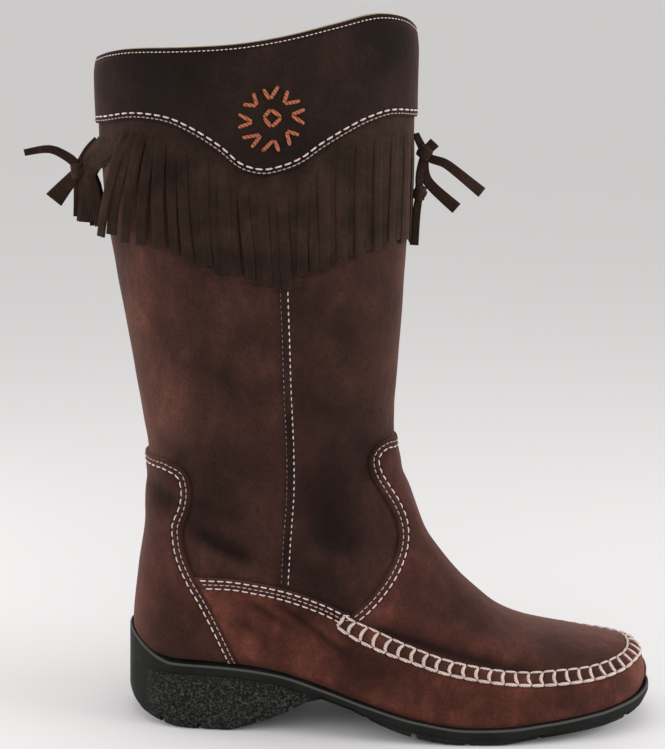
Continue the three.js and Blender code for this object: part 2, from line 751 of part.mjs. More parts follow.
// A point above the shaft's surface at a turn and a height, with the outward and sideways
// directions there.
function onShaft(turn, z, distance) {
  let low = FOOT_SECTIONS.length;
  let high = LAST_SECTION;
  for (let i = 0; i < 20; i++) {
    const middle = (low + high) / 2;
    if (facetPoint(middle, turn).z < z) low = middle;
    else high = middle;
  }
  const point = facetPoint(low, turn);
  const step = 0.02;
  const across = facetPoint(low, turn + step)
    .sub(facetPoint(low, turn - step))
    .setZ(0)
    .normalize();
  const out = new THREE.Vector3(-across.y, across.x, 0);
  if (out.x * (point.x - SHAFT_AXIS) + out.y * point.y < 0) out.negate();
  return { point: point.addScaledVector(out, distance), out, across };
}

// Turns of the shaft at even distances around it, at one height, and the distance all round.
function evenTurns(count, z) {
  const samples = 160;
  const path = Array.from(
    { length: samples + 1 },
    (_, i) => onShaft((2 * i) / samples, z, 0).point,
  );
  const length = [0];
  for (let i = 1; i <= samples; i++)
    length.push(length[i - 1] + path[i].distanceTo(path[i - 1]));
  const around = length.at(-1);
  const found = [];
  for (let i = 0, j = 0; j < count; j++) {
    const wanted = (j * around) / count;
    while (length[i + 1] < wanted) i++;
    found.push((2 * (i + (wanted - length[i]) / (length[i + 1] - length[i]))) / samples);
  }
  return { found, around };
}

// A flat strip through stations with a middle point, a width direction and a thickness direction.
function strip(stations) {
  return solid(
    loft(
      stations.map(({ point, across, out, width, thickness }) =>
        [
          [-1, 0],
          [1, 0],
          [1, 1],
          [-1, 1],
        ].map(([a, o]) =>
          point
            .clone()
            .addScaledVector(across, (a * width) / 2)
            .addScaledVector(out, o * thickness),
        ),
      ),
    ),
  );
}

// Fringe: a margin stitched under the cuff, with cut strips fused to it. Each strip starts inside
// the margin and hangs a little clear of the shaft; the ones at the very back stand off further.
// The thongs tied in knots take the places of the middle strips at the back and front.
const HEADER_HEIGHT = BOOT_HEIGHT - CUFF_HEIGHT - CUFF_BOW / 2;
function fringe() {
  const header = shell(CLEARANCE, CLEARANCE + SKIVED_EDGE).intersect(
    sideForm([...raised(cuffEdge, FRINGE_TUCK), ...raised(cuffEdge, -FRINGE_MARGIN).reverse()]),
  );
  const { around } = evenTurns(1, HEADER_HEIGHT);
  const count = 2 * Math.round(around / STRIP_PITCH / 2);
  const width = around / count - STRIP_GAP;
  const places = evenTurns(count, HEADER_HEIGHT).found.filter((_, j) => j % (count / 2) !== 0);
  const strips = places.map((turn, j) => {
    const place = onShaft(turn, HEADER_HEIGHT, 0);
    const backness = Math.max(-place.out.x, 0) ** 6;
    const top = heightOn(cuffEdge, place.point.x) - FRINGE_MARGIN * 0.7;
    const bottom = heightOn(hemLine, place.point.x) + 2.5 * Math.sin(2.3 * j);
    const stand = STRIP_STAND + 0.5 * Math.sin(1.7 * j) + BACK_STAND * backness;
    return strip(
      [0, 1].map((down) => {
        const sunk = down === 0;
        const lift = CLEARANCE + (sunk ? SKIVED_EDGE / 4 : stand);
        const at = onShaft(turn, top + (bottom - top) * down, lift);
        return {
          ...at,
          width: width * (1 - 0.08 * down),
          thickness: sunk ? SKIVED_EDGE / 2 : STRIP_THICKNESS,
        };
      }),
    );
  });
  return wasm.Manifold.union([header, ...strips]);
}

// A thong: a flat ribbon of leather through points in the boot's middle plane.
function thong({ path, width }) {
  const way = new THREE.CatmullRomCurve3(path.map(([x, z]) => new THREE.Vector3(x, 0, z)));
  const steps = path.length + 1;
  return strip(
    Array.from({ length: steps + 1 }, (_, i) => {
      const out = new THREE.Vector3(0, 1, 0);
      const across = new THREE.Vector3().crossVectors(out, way.getTangentAt(i / steps)).normalize();
      const point = way.getPointAt(i / steps).addScaledVector(out, -THONG_THICKNESS / 2);
      const flare = THONG_WIDTH * (width[0] + ((width[1] - width[0]) * i) / steps);
      return { point, across, out, width: flare, thickness: THONG_THICKNESS };
    }),
  );
}

// A knot with its thongs. Places are shares of the longest thong: outwards from the shaft, then
// down from the cuff's edge. Widths are shares of a thong's width.
function tiedKnot(faceX, edgeZ, outward, beads, thongs) {
  const place = ([out, down]) => [
    faceX + outward * out * THONG_LENGTH,
    edgeZ - down * THONG_LENGTH,
  ];
  const solids = beads.map(({ centre, size }) => {
    const [x, z] = place(centre);
    return solid(
      new THREE.SphereGeometry(KNOT_RADIUS, 8, 6)
        .scale(...size)
        .translate(x, 0, z),
    );
  });
  return wasm.Manifold.union([
    ...solids,
    ...thongs.map(({ path, width }) => thong({ path: path.map(place), width })),
  ]);
}

const frontX = onShaft(1, HEADER_HEIGHT, 0).point.x;
const backX = onShaft(0, HEADER_HEIGHT, 0).point.x;
// A thong comes out from under the fringe's margin.
const ROOT = (FRINGE_MARGIN + CLEARANCE) / THONG_LENGTH;

const frontKnot = () =>
  tiedKnot(
    frontX + CLEARANCE,
    heightOn(cuffEdge, frontX),
    1,
    [
      { centre: [0.107, 0.29], size: [0.85, 0.9, 1.2] },
      { centre: [0.077, 0.623], size: [0.7, 0.8, 1.25] },
    ],
    [
      { path: [[0.032, ROOT], [0.047, 0.18], [0.107, 0.29]], width: [0.8, 1] },
      { path: [[0.107, 0.29], [0.15, 0.248], [0.187, 0.21]], width: [1.25, 1.38] },
      {
        path: [[0.107, 0.29], [0.153, 0.34], [0.267, 0.373], [0.367, 0.44], [0.583, 0.607]],
        width: [1, 1.38],
      },
      { path: [[0.103, 0.307], [0.115, 0.473], [0.187, 0.582], [0.383, 0.748]], width: [1.12, 1.5] },
      { path: [[0.092, 0.34], [0.07, 0.49], [0.077, 0.623]], width: [0.85, 0.9] },
      { path: [[0.077, 0.623], [0.057, 0.79], [0.043, 1.057]], width: [0.9, 1.05] },
    ],
  );
const backKnot = () =>
  tiedKnot(
    backX - CLEARANCE,
    heightOn(cuffEdge, backX),
    -1,
    [{ centre: [0.187, 0.392], size: [0.85, 0.9, 1.5] }],
    [
      { path: [[0.032, ROOT], [0.047, 0.155], [0.108, 0.235], [0.187, 0.392]], width: [0.8, 1.25] },
      { path: [[0.187, 0.358], [0.275, 0.283], [0.417, 0.225], [0.617, 0.258]], width: [1.12, 0.8] },
      { path: [[0.187, 0.408], [0.267, 0.5], [0.383, 0.642]], width: [1.5, 2.38] },
      { path: [[0.183, 0.442], [0.177, 0.592], [0.17, 0.775]], width: [1.25, 1.75] },
    ],
  );

// Sole unit: sections across the boot at stations along it.
// Ground line: height of the tread above the floor as a share of the feather line's height there.
const GROUND = [
  { along: 0, share: 0.4 },
  { along: 0.012, share: 0.26 },
  { along: 0.028, share: 0.155 },
  { along: 0.05, share: 0.085 },
  { along: 0.08, share: 0.02 },
  { along: 0.1, share: 0 },
  { along: 0.187, share: 0 },
  { along: 0.217, share: 0.06 },
  { along: 0.25, share: 0.17 },
  { along: 0.302, share: 0.4 },
  { along: 0.35, share: 0.74 },
  { along: 0.385, share: 0.92 },
  { along: 0.413, share: 0.87 },
  { along: 0.45, share: 0.73 },
  { along: 0.494, share: 0.54 },
  { along: 0.543, share: 0.31 },
  { along: 0.587, share: 0.12 },
  { along: 0.62, share: 0 },
  { along: 0.7, share: 0 },
  { along: 0.755, share: 0.28 },
  { along: 0.79, share: 0.38 },
  { along: 0.846, share: 0.45 },
  { along: 0.93, share: 0.52 },
  { along: 0.97, share: 0.65 },
  { along: 1, share: 0.88 },
];
const groundShare = lookup(GROUND, "along", "share");

function soleBlock() {
  const proud = PANEL_FACE + CLEARANCE + LIP;
  const steps = 27;
  const rings = [];
  for (let i = 0; i <= steps; i++) {
    const turn = 0.012 + (0.976 * i) / steps;
    const along = (1 - Math.cos(Math.PI * turn)) / 2;
    const x = footX(along) + proud * (2 * along - 1);
    const feather = featherAt(along);
    const middle = middleLine(turn);
    const cup = Math.max(1 - along / 0.085, 0) ** 1.4 * HEEL_CUP;
    const top = feather + LIP_HEIGHT + cup;
    const ground = Math.min(
      feather * groundShare(along),
      feather - CLEARANCE - ARCH_THICKNESS,
    );
    const bandBottom = Math.max(
      feather + LIP_HEIGHT - RIM_BAND,
      ground + EDGE_BEVEL + 0.8,
    );
    const ends = Math.sqrt(Math.max(Math.sin(Math.PI * turn), 0.05));
    const half = (f, side) => {
      const rim = f(turn) + proud * ends;
      const step = RIM_STEP * (bandBottom - ground > 4 ? 1 : 0.4) * Math.min(along / FLUSH_BACK, 1);
      const foot = rim - Math.min(step, rim / 3);
      const bottom = Math.max(foot - EDGE_BEVEL * 1.5, rim / 3);
      return [
        [rim * 0.97, top],
        [rim, top - 0.9],
        [rim, bandBottom],
        [foot, bandBottom - 0.7],
        [foot, ground + EDGE_BEVEL],
        [bottom, ground],
      ].map(([y, z]) => new THREE.Vector3(x, middle + side * y, z));
    };
    rings.push([...half(outerHalf, -1), ...half(innerHalf, 1).reverse()]);
  }
  return solid(loft(rings));
}

// Cross grooves of the tread, by share of the foot's length.
const GROOVES = [0.066, 0.137, 0.246, 0.308, 0.454, 0.542, 0.642, 0.777, 0.948];

function soleUnit() {
  const bed = last(PANEL_FACE + CLEARANCE).intersect(
    above(raised(featherLine, -CLEARANCE)),
  );
  const cuts = GROOVES.map((along) => {
    const x = footX(along);
    const z = Math.min(
      featherAt(along) * groundShare(along),
      featherAt(along) - CLEARANCE - ARCH_THICKNESS,
    );
    const depth = Math.min(TREAD_DEPTH, (featherAt(along) - z) / 3);
    const half = TREAD_WIDTH / 2;
    return sideForm([
      [x - half * 1.3, z - 10],
      [x + half * 1.3, z - 10],
      [x + half, z + depth],
      [x - half, z + depth],
    ]);
  });
  return wasm.Manifold.difference([soleBlock(), bed, ...cuts]);
}

// The scene graph
const SUEDE = { color: 0x4a2a24, roughness: 0.95, metalness: 0 };
const DARK_SUEDE = { color: 0x2f201b, roughness: 0.95, metalness: 0 };
const RUBBER = { color: 0x1c1c1d, roughness: 0.6, metalness: 0 };
const LINING = { color: 0xb39a72, roughness: 0.9, metalness: 0 };

const boot = new THREE.Group();
function add(name, made, look) {
  const { numProp, vertProperties, triVerts } = made.getMesh();
  const position = new Float32Array((vertProperties.length / numProp) * 3);
  for (let i = 0; i < position.length / 3; i++)
    position.set(vertProperties.subarray(i * numProp, i * numProp + 3), i * 3);
  const geometry = new THREE.BufferGeometry()
    .setAttribute("position", new THREE.BufferAttribute(position, 3))
    .setIndex(new THREE.BufferAttribute(triVerts, 1));
  geometry.computeVertexNormals();
  const mesh = new THREE.Mesh(geometry, new THREE.MeshStandardMaterial(look));
  mesh.name = name;
  boot.add(mesh);
}

add("sole", soleUnit(), RUBBER);
add("insole", insole(), LINING);
add("upper", upperShell(), SUEDE);
add("heel_counter", heelCounter(), SUEDE);
add("side_wall", sideWall(), SUEDE);
add("vamp", vamp(), SUEDE);
add("moccasin_seam", moccasinSeam(), SUEDE);
add("wall_seam_outer", wallTape(-1), SUEDE);
add("wall_seam_inner", wallTape(1), SUEDE);
add("side_seam_outer", sideTape(-1), DARK_SUEDE);
add("side_seam_inner", sideTape(1), DARK_SUEDE);
add("cuff", cuff(), DARK_SUEDE);
add("fringe", fringe(), DARK_SUEDE);
add("knot_front", frontKnot(), DARK_SUEDE);
add("knot_back", backKnot(), DARK_SUEDE);

export default boot;
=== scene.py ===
# A right-foot mid-calf suede boot with a moccasin toe, a fringed cuff and a moulded rubber sole with a low
# heel. Sizes are in millimetres, as the boot's maker works, and MM turns them into the frame's metres. +X
# points to the toe, +Y to the inner side and +Z up, from the flat spot under the heel.
import math
import random

import bpy
import numpy as np
from mathutils import Matrix, Vector, noise


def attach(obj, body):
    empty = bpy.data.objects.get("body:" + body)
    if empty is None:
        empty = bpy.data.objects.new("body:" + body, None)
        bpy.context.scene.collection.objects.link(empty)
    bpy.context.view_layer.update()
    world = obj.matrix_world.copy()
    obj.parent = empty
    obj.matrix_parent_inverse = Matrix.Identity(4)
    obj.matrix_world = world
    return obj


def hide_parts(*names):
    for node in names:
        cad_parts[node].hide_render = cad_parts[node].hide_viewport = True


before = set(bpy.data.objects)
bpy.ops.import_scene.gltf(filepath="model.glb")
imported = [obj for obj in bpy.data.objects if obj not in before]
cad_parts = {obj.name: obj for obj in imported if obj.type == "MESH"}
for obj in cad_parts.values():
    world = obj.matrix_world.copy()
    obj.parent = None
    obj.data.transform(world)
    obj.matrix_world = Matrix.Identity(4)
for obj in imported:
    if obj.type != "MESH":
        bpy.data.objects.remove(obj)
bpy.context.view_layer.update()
MM = 0.001

# Studio: the boot stands alone on a plain pale floor that fills the picture, under large soft lights from
# the left and the right, weaker ones in front and above, and a small one behind the shaft on the left. The
# camera looks a little down on the boot's outer side.
CAMERA_AT = (58.73, -950.0, 372.0)
CAMERA_DOWN = 11.617  # degrees
CAMERA_ROLL = 1.3
CAMERA_LENS = 93.04
CAMERA_FILM = 36  # height of the picture behind the lens
CAMERA_SIGHT = 200  # metres
FLOOR_PAINT = (0.70, 0.69, 0.69, 1)
FLOOR_HALF_WIDTH = 30  # metres, as the floor's front and back edges
FLOOR_FRONT = -3
FLOOR_BACK = 90
ROOM_LIGHT = (0.885, 0.87, 0.87, 1)
ROOM_POWER = 0.95
SOFT_LIGHTS = {  # place, what it looks at, its width and its power
    "light_left": ((-900, -560, 430), (10, 0, 210), 640, 5.2),
    "light_right": ((980, -200, 420), (60, 0, 190), 560, 6.4),
    "light_front": ((150, -1300, 620), (60, 0, 130), 900, 1.7),
    "light_top": ((80, 100, 1300), (60, 0, 0), 900, 1.2),
    "light_back_left": ((-640, 260, 260), (-20, 0, 190), 240, 1.2),
}

scene = bpy.context.scene
scene.view_settings.view_transform = "Standard"
camera = bpy.data.objects.new("camera", bpy.data.cameras.new("camera"))
camera.data.sensor_fit = "VERTICAL"
camera.data.sensor_height = CAMERA_FILM
camera.data.lens = CAMERA_LENS
camera.data.clip_end = CAMERA_SIGHT
camera.matrix_world = (
    Matrix.Translation(Vector(CAMERA_AT) * MM)
    @ Matrix.Rotation(math.radians(90 - CAMERA_DOWN), 4, "X")
    @ Matrix.Rotation(math.radians(CAMERA_ROLL), 4, "Z")
)
scene.collection.objects.link(camera)
scene.camera = camera

for name, (place, target, width, power) in SOFT_LIGHTS.items():
    lamp = bpy.data.lights.new(name, "AREA")
    lamp.size = width * MM
    lamp.energy = power
    light = bpy.data.objects.new(name, lamp)
    light.location = Vector(place) * MM
    light.rotation_euler = (Vector(target) - Vector(place)).to_track_quat("-Z", "Y").to_euler()
    scene.collection.objects.link(light)

world = bpy.data.worlds.new("studio")
world.use_nodes = True
room = world.node_tree.nodes["Background"]
room.inputs["Color"].default_value = ROOM_LIGHT
room.inputs["Strength"].default_value = ROOM_POWER
scene.world = world

floor_paint = bpy.data.materials.new("floor_paint")
floor_paint.use_nodes = True
shader = floor_paint.node_tree.nodes["Principled BSDF"]
shader.inputs["Base Color"].default_value = FLOOR_PAINT
shader.inputs["Roughness"].default_value = 0.9
floor_corners = [
    (-FLOOR_HALF_WIDTH, FLOOR_FRONT, 0),
    (FLOOR_HALF_WIDTH, FLOOR_FRONT, 0),
    (FLOOR_HALF_WIDTH, FLOOR_BACK, 0),
    (-FLOOR_HALF_WIDTH, FLOOR_BACK, 0),
]
floor_mesh = bpy.data.meshes.new("floor")
floor_mesh.from_pydata(floor_corners, [], [(0, 1, 2, 3)])
floor_mesh.materials.append(floor_paint)
floor = bpy.data.objects.new("floor", floor_mesh)
scene.collection.objects.link(floor)

# Upper: two millimetres of suede drawn over the last, from the toe to the top of the shaft. It is one skin
# all round, open at the collar and under the foot, where it is lasted and cemented to the insole.
HEEL_BACK = -38
FOOT_LENGTH = 260
BALL_WIDTH = 88
HEEL_WIDTH = 63
HEEL_SEAT = 32.3
BALL_SEAT = 6
TOE_SPRING = 11
INSTEP_HEIGHT = 118
ANKLE_WIDTH = 72
SHAFT_HEIGHT = 205
SHAFT_DEPTH = 155
SHAFT_WIDTH = 86
SHAFT_AXIS = 18
TOE_SWING = 7
COLLAR_DIP = 26
COLLAR_TILT = 0.035
UPPER_WALL = 2
FEATHER_MARGIN = 0.6  # the upper ends this much over the feather line, and panels this much under it
HEEL_ROUND = 0.13  # share of the length at which the heel has its full width
TIP_BREADTH = 0.6  # breadth of the toe's foremost section
BOOT_HEIGHT = HEEL_SEAT + INSTEP_HEIGHT + SHAFT_HEIGHT


def smooth_rows(values):
    """Rows of a table as a smooth function of the row's number, with no overshoot between rows."""
    value = np.array(values, float)
    step = np.diff(value)
    slope = np.zeros_like(value)
    slope[0] = step[0]
    slope[-1] = step[-1]
    product = step[:-1] * step[1:]
    total = np.where(product > 0, step[:-1] + step[1:], 1)
    slope[1:-1] = np.where(product > 0, 2 * product / total, 0)

    def at(row):
        row = np.asarray(row, float)
        i = np.clip(np.floor(row), 0, len(value) - 2).astype(int)
        f = row - i
        rise = f * f * (3 - 2 * f)
        bend = slope[i] * f * (1 - f) ** 2 - slope[i + 1] * f * f * (1 - f)
        return value[i] + (value[i + 1] - value[i]) * rise + bend

    return at


def by_column(keys, values):
    """One column of a table as a function of another, rising column."""
    at = smooth_rows(values)
    rows = np.arange(len(keys))
    return lambda key: at(np.interp(key, keys, rows))


def turn_of(along):
    return np.arccos(np.clip(1 - 2 * np.asarray(along, float), -1, 1)) / np.pi


def foot_x(along):
    return HEEL_BACK + FOOT_LENGTH * np.asarray(along, float)


# Feather line: share of the foot's length, of the heel's lift over the ball, and of the toe spring
FEATHER = [
    (0, 1, 0),
    (0.14, 0.99, 0),
    (0.2, 0.96, 0),
    (0.285, 0.86, 0),
    (0.36, 0.66, 0),
    (0.45, 0.38, 0),
    (0.545, 0.13, 0),
    (0.64, 0, 0),
    (0.71, 0, 0.03),
    (0.79, 0, 0.22),
    (0.9, 0, 0.52),
    (0.96, 0, 0.76),
    (1, 0, 1),
]
feather_along = [row[0] for row in FEATHER]
lift_at = by_column(feather_along, [row[1] for row in FEATHER])
spring_at = by_column(feather_along, [row[2] for row in FEATHER])


def feather_at(along):
    return BALL_SEAT + (HEEL_SEAT - BALL_SEAT) * lift_at(along) + TOE_SPRING * spring_at(along)


# Outline from above: share of length, outer and inner half widths, 1 where they are shares of the heel's
# width and 0 where they are of the ball's, and swing
OUTLINE = [
    (0, 0, 0, 1, 0),
    (0.02, 0.27, 0.27, 1, 0),
    (0.06, 0.43, 0.43, 1, 0),
    (0.13, 0.5, 0.5, 1, 0),
    (0.28, 0.52, 0.5, 1, -0.1),
    (0.42, 0.43, 0.35, 0, -0.2),
    (0.55, 0.49, 0.43, 0, -0.1),
    (0.68, 0.51, 0.49, 0, 0.1),
    (0.8, 0.48, 0.48, 0, 0.4),
    (0.89, 0.415, 0.415, 0, 0.7),
    (0.95, 0.315, 0.315, 0, 0.9),
    (0.985, 0.19, 0.19, 0, 1),
    (1, 0, 0, 0, 1),
]
outline_turn = [float(turn_of(row[0])) for row in OUTLINE]
outline_width = [HEEL_WIDTH if row[3] else BALL_WIDTH for row in OUTLINE]
outer_half, inner_half = (
    by_column(outline_turn, [row[side] * width for row, width in zip(OUTLINE, outline_width)])
    for side in (1, 2)
)
middle_line = by_column(outline_turn, [row[4] * TOE_SWING for row in OUTLINE])

# Sections of the foot: front and back point (share of length, rise), breadth, height of the widest place, and
# squareness under and over it
FOOT_SECTIONS = [
    (1, 0.09, 1, 0.02, 0.1, 0.45, 2.4, 2.4),
    (0.992, 0.142, 0.992, 0.003, 1, 0.42, 4, 2.5),
    (0.977, 0.176, 0.975, 0, 1, 0.4, 6, 2.3),
    (0.95, 0.208, 0.943, 0, 1, 0.38, 7, 2.2),
    (0.904, 0.242, 0.893, 0, 1, 0.36, 7.5, 2.15),
    (0.843, 0.283, 0.828, 0, 1, 0.34, 7.5, 2.15),
    (0.778, 0.332, 0.751, 0, 1, 0.31, 7.5, 2.15),
    (0.724, 0.39, 0.67, 0, 1, 0.27, 7.5, 2.2),
    (0.675, 0.478, 0.586, 0, 1, 0.25, 7.5, 2.1),
    (0.629, 0.57, 0.502, 0, 1, 0.25, 7, 2.05),
    (0.59, 0.66, 0.422, 0, 1.02, 0.26, 6.5, 2.1),
    (0.557, 0.748, 0.33, 0, 1.04, 0.29, 6, 2.15),
    (0.537, 0.842, 0.23, 0, 1.04, 0.32, 5, 2.2),
    (0.519, 0.936, 0.115, 0, 1.07, 0.35, 3.8, 2.25),
    (0.506, 1.012, 0.014, 0, 1.09, 0.37, 2.8, 2.3),
]
# Sections of the shaft: front and back point (across, rise, climb), width, widest height, squareness
SHAFT_SECTIONS = [
    (0.473, 0.94, 0, -0.363, 0.02, 0, -0.22, 0.38, 2.35),
    (0.469, 0.985, 0, -0.364, 0.15, 0, -0.16, 0.39, 2.3),
    (0.466, 1, 0.02, -0.349, 0.375, 0, -0.05, 0.43, 2.2),
    (0.466, 1, 0.06, -0.326, 0.612, 0, 0.02, 0.46, 2.2),
    (0.469, 1, 0.117, -0.326, 0.831, 0, 0.12, 0.48, 2.2),
    (0.475, 1, 0.195, -0.353, 1, 0.049, 0.3, 0.5, 2.2),
    (0.482, 1, 0.3, -0.394, 1, 0.22, 0.56, 0.5, 2.2),
    (0.488, 1, 0.43, -0.437, 1, 0.395, 0.78, 0.5, 2.2),
    (0.494, 1, 0.61, -0.475, 1, 0.59, 0.95, 0.5, 2.2),
    (0.495, 1, 0.8, -0.487, 1, 0.79, 1, 0.5, 2.2),
    (0.494, 1, 1.08, -0.491, 1, 1.07, 1, 0.5, 2.2),
]
LAST_SECTION = len(FOOT_SECTIONS) + len(SHAFT_SECTIONS) - 1
LOW_SHARE = 0.44  # of the way round one side, under the widest place


def foot_section(front, front_rise, back, back_rise, broad, belly, low, high):
    width = np.clip(turn_of(back), turn_of(HEEL_ROUND), turn_of(FOOT_SECTIONS[1][0]))
    scale = TIP_BREADTH if back == 1 else broad
    return (
        foot_x(front),
        feather_at(front) + front_rise * INSTEP_HEIGHT,
        foot_x(back),
        feather_at(back) + back_rise * INSTEP_HEIGHT,
        outer_half(width) * scale,
        inner_half(width) * scale,
        middle_line(turn_of(back)),
        belly,
        low,
        high,
    )


def shaft_section(front, front_rise, front_climb, back, back_rise, back_climb, width, belly, square):
    half = (ANKLE_WIDTH + (SHAFT_WIDTH - ANKLE_WIDTH) * width) / 2
    return (
        SHAFT_AXIS + front * SHAFT_DEPTH,
        HEEL_SEAT + front_rise * INSTEP_HEIGHT + front_climb * SHAFT_HEIGHT,
        SHAFT_AXIS + back * SHAFT_DEPTH,
        HEEL_SEAT + back_rise * INSTEP_HEIGHT + back_climb * SHAFT_HEIGHT,
        half,
        half,
        0,
        belly,
        square,
        square,
    )


sections = [foot_section(*row) for row in FOOT_SECTIONS] + [shaft_section(*row) for row in SHAFT_SECTIONS]
section_columns = [smooth_rows([float(row[i]) for row in sections]) for i in range(10)]


def last_point(place, turn):
    """A point of the last: place from toe to top, turn from the back over the outer side and back again."""
    section = (column(place) for column in section_columns)
    front_x, front_z, back_x, back_z, outer, inner, middle, belly, low, high = section
    outer_side = turn <= 1
    way = np.where(outer_side, turn, 2 - turn)
    under = way < LOW_SHARE
    angle = np.pi / 2 * np.where(under, way / LOW_SHARE, (way - LOW_SHARE) / (1 - LOW_SHARE))
    power = 2 / np.where(under, low, high)
    cos = np.maximum(np.cos(angle), 0) ** power
    sin = np.maximum(np.sin(angle), 0) ** power
    up = np.where(under, belly * (1 - cos), belly + (1 - belly) * sin)
    out = np.where(under, sin, cos)
    half = np.where(outer_side, -outer, inner)
    return np.stack(
        [back_x + (front_x - back_x) * up, middle + out * half, back_z + (front_z - back_z) * up], axis=-1
    )


# The skin of the last as an even net of points about two millimetres apart
SIDE_COLUMNS = 104
COLUMNS = 2 * SIDE_COLUMNS
ROW_STEP = 2.1
RING_TRIES = 320  # places tried on each side to find the even ones
TOE_CAP_ROWS = 7
TOE_CAP_BULGE = 1.6


def run_along(points):
    """Distance of each point from the first, along the line through them."""
    return np.concatenate([[0], np.cumsum(np.linalg.norm(np.diff(points, axis=0), axis=1))])


def even_ring(place):
    """One row of the net: even steps up the outer side and down the inner one."""
    q = np.linspace(0, 1, RING_TRIES)
    crowded = 0.5 - 0.5 * np.cos(np.pi * (0.5 - 0.5 * np.cos(np.pi * q)))
    way = np.concatenate([LOW_SHARE * crowded, LOW_SHARE + (1 - LOW_SHARE) * crowded[1:]])
    ring = []
    for turns in (way, 1 + way):
        if turns[0] >= 1:
            turns = 2 - way[::-1]
        run = run_along(last_point(np.full(len(turns), float(place)), turns))
        ring.append(np.interp(np.linspace(0, run[-1], SIDE_COLUMNS + 1)[:-1], run, turns))
    turns = np.concatenate(ring)
    return last_point(np.full(COLUMNS, float(place)), turns)


coarse_places = np.linspace(0, LAST_SECTION, 8 * LAST_SECTION + 1)
coarse = np.stack([even_ring(p) for p in coarse_places])
widest = np.linalg.norm(np.diff(coarse, axis=0), axis=2).max(axis=1)
gone = np.concatenate([[0], np.cumsum(widest)])
row_count = int(gone[-1] / ROW_STEP) + 1
places = np.interp(np.linspace(0, gone[-1], row_count), gone, coarse_places)
skin = np.stack([even_ring(p) for p in places])
cap = []
for k in range(TOE_CAP_ROWS, 0, -1):
    lean = math.pi / 2 * k / TOE_CAP_ROWS
    centre = skin[0].mean(axis=0)
    drawn_in = (skin[0] - centre) * max(math.cos(lean), 0.02)
    cap.append(centre + drawn_in + np.array([TOE_CAP_BULGE * math.sin(lean), 0, 0]))
skin = np.concatenate([np.stack(cap), skin])
ROWS = len(skin)
down_rows = np.gradient(skin, axis=0)
round_columns = (np.roll(skin, -1, axis=1) - np.roll(skin, 1, axis=1)) / 2
normal = np.cross(down_rows, round_columns)
length = np.linalg.norm(normal, axis=2, keepdims=True)
normal = np.where(length > 1e-9, normal / np.maximum(length, 1e-9), np.array([1.0, 0, 0]))
if (normal[-1] * (skin[-1] - skin[-1].mean(axis=0))).sum() < 0:
    normal = -normal

# Soft troughs (minus) and ridges in the leather: both ends of each in x and z, its width and depth, and the
# side that it is on, -1 outer, 1 inner or 0 both
CREASES = [
    (68, 61, 130, 41.5, 2.4, -1.9, -1),
    (110, 47, 184, 27.5, 2.4, -1.7, -1),
    (74, 69, 140, 49, 3.6, 1.3, -1),
    (116, 54, 188, 34, 3.6, 1.1, -1),
    (14, 71, 44, 54, 2.4, -1.4, -1),
    (22, 69, 56, 51, 2.6, 1.0, -1),
    (30, 69, 62, 49, 2.2, -1.2, -1),
    (44, 62, 72, 45, 2.6, 1.0, -1),
    (10, 61, 32, 47, 2.4, -1.1, -1),
    (50, 56, 74, 40, 2.4, -0.9, -1),
    (-14, 106, 32, 82, 3.6, -1.6, -1),
    (-8, 96, 26, 76, 4.0, 1.2, -1),
    (-12, 120, 20, 108, 4.5, -0.8, -1),
    (-38, 128, -8, 112, 5.0, -1.3, 0),
    (-34, 112, -6, 100, 5.0, 0.8, 0),
    (-36, 150, -4, 137, 5.5, -1.0, 0),
    (48, 108, 78, 92, 4.5, -1.1, -1),
    (44, 96, 70, 84, 4.5, 0.8, -1),
    (64, 152, 96, 138, 6.0, -1.2, 0),
    (70, 134, 104, 124, 5.5, -0.8, 0),
    (-20, 185, 30, 172, 9.0, -0.9, -1),
    (40, 200, 86, 188, 9.0, 0.8, -1),
    (96, 70, 150, 52, 5.0, -1.0, 1),
    (-20, 180, 40, 168, 9.0, -1.0, 1),
]
CREASE_FADE = 0.35  # share of a crease's length over which each end fades
SOFTNESS = 0.55  # depth of the shaft's gentle dents
BROAD_DENTS = 0.022
SMALL_DENTS = 0.055
SMALL_SHARE = 0.4
RUB_AND_CREASE_SHADE = 0.42  # how much paler a ridge is rubbed, and how much darker a trough is painted as shade

x_of, y_of, z_of = skin[..., 0], skin[..., 1], skin[..., 2]
rumple = np.zeros((ROWS, COLUMNS))
for ax, az, bx, bz, width, depth, side in CREASES:
    size = math.hypot(bx - ax, bz - az)
    along = ((x_of - ax) * (bx - ax) + (z_of - az) * (bz - az)) / size
    across = ((x_of - ax) * (bz - az) - (z_of - az) * (bx - ax)) / size
    ends = np.clip(np.minimum(along, size - along) / (CREASE_FADE * size), 0, 1)
    there = 1.0 if side == 0 else (y_of * side > 0)
    rumple += depth * np.exp(-((across / width) ** 2)) * ends * ends * (3 - 2 * ends) * there
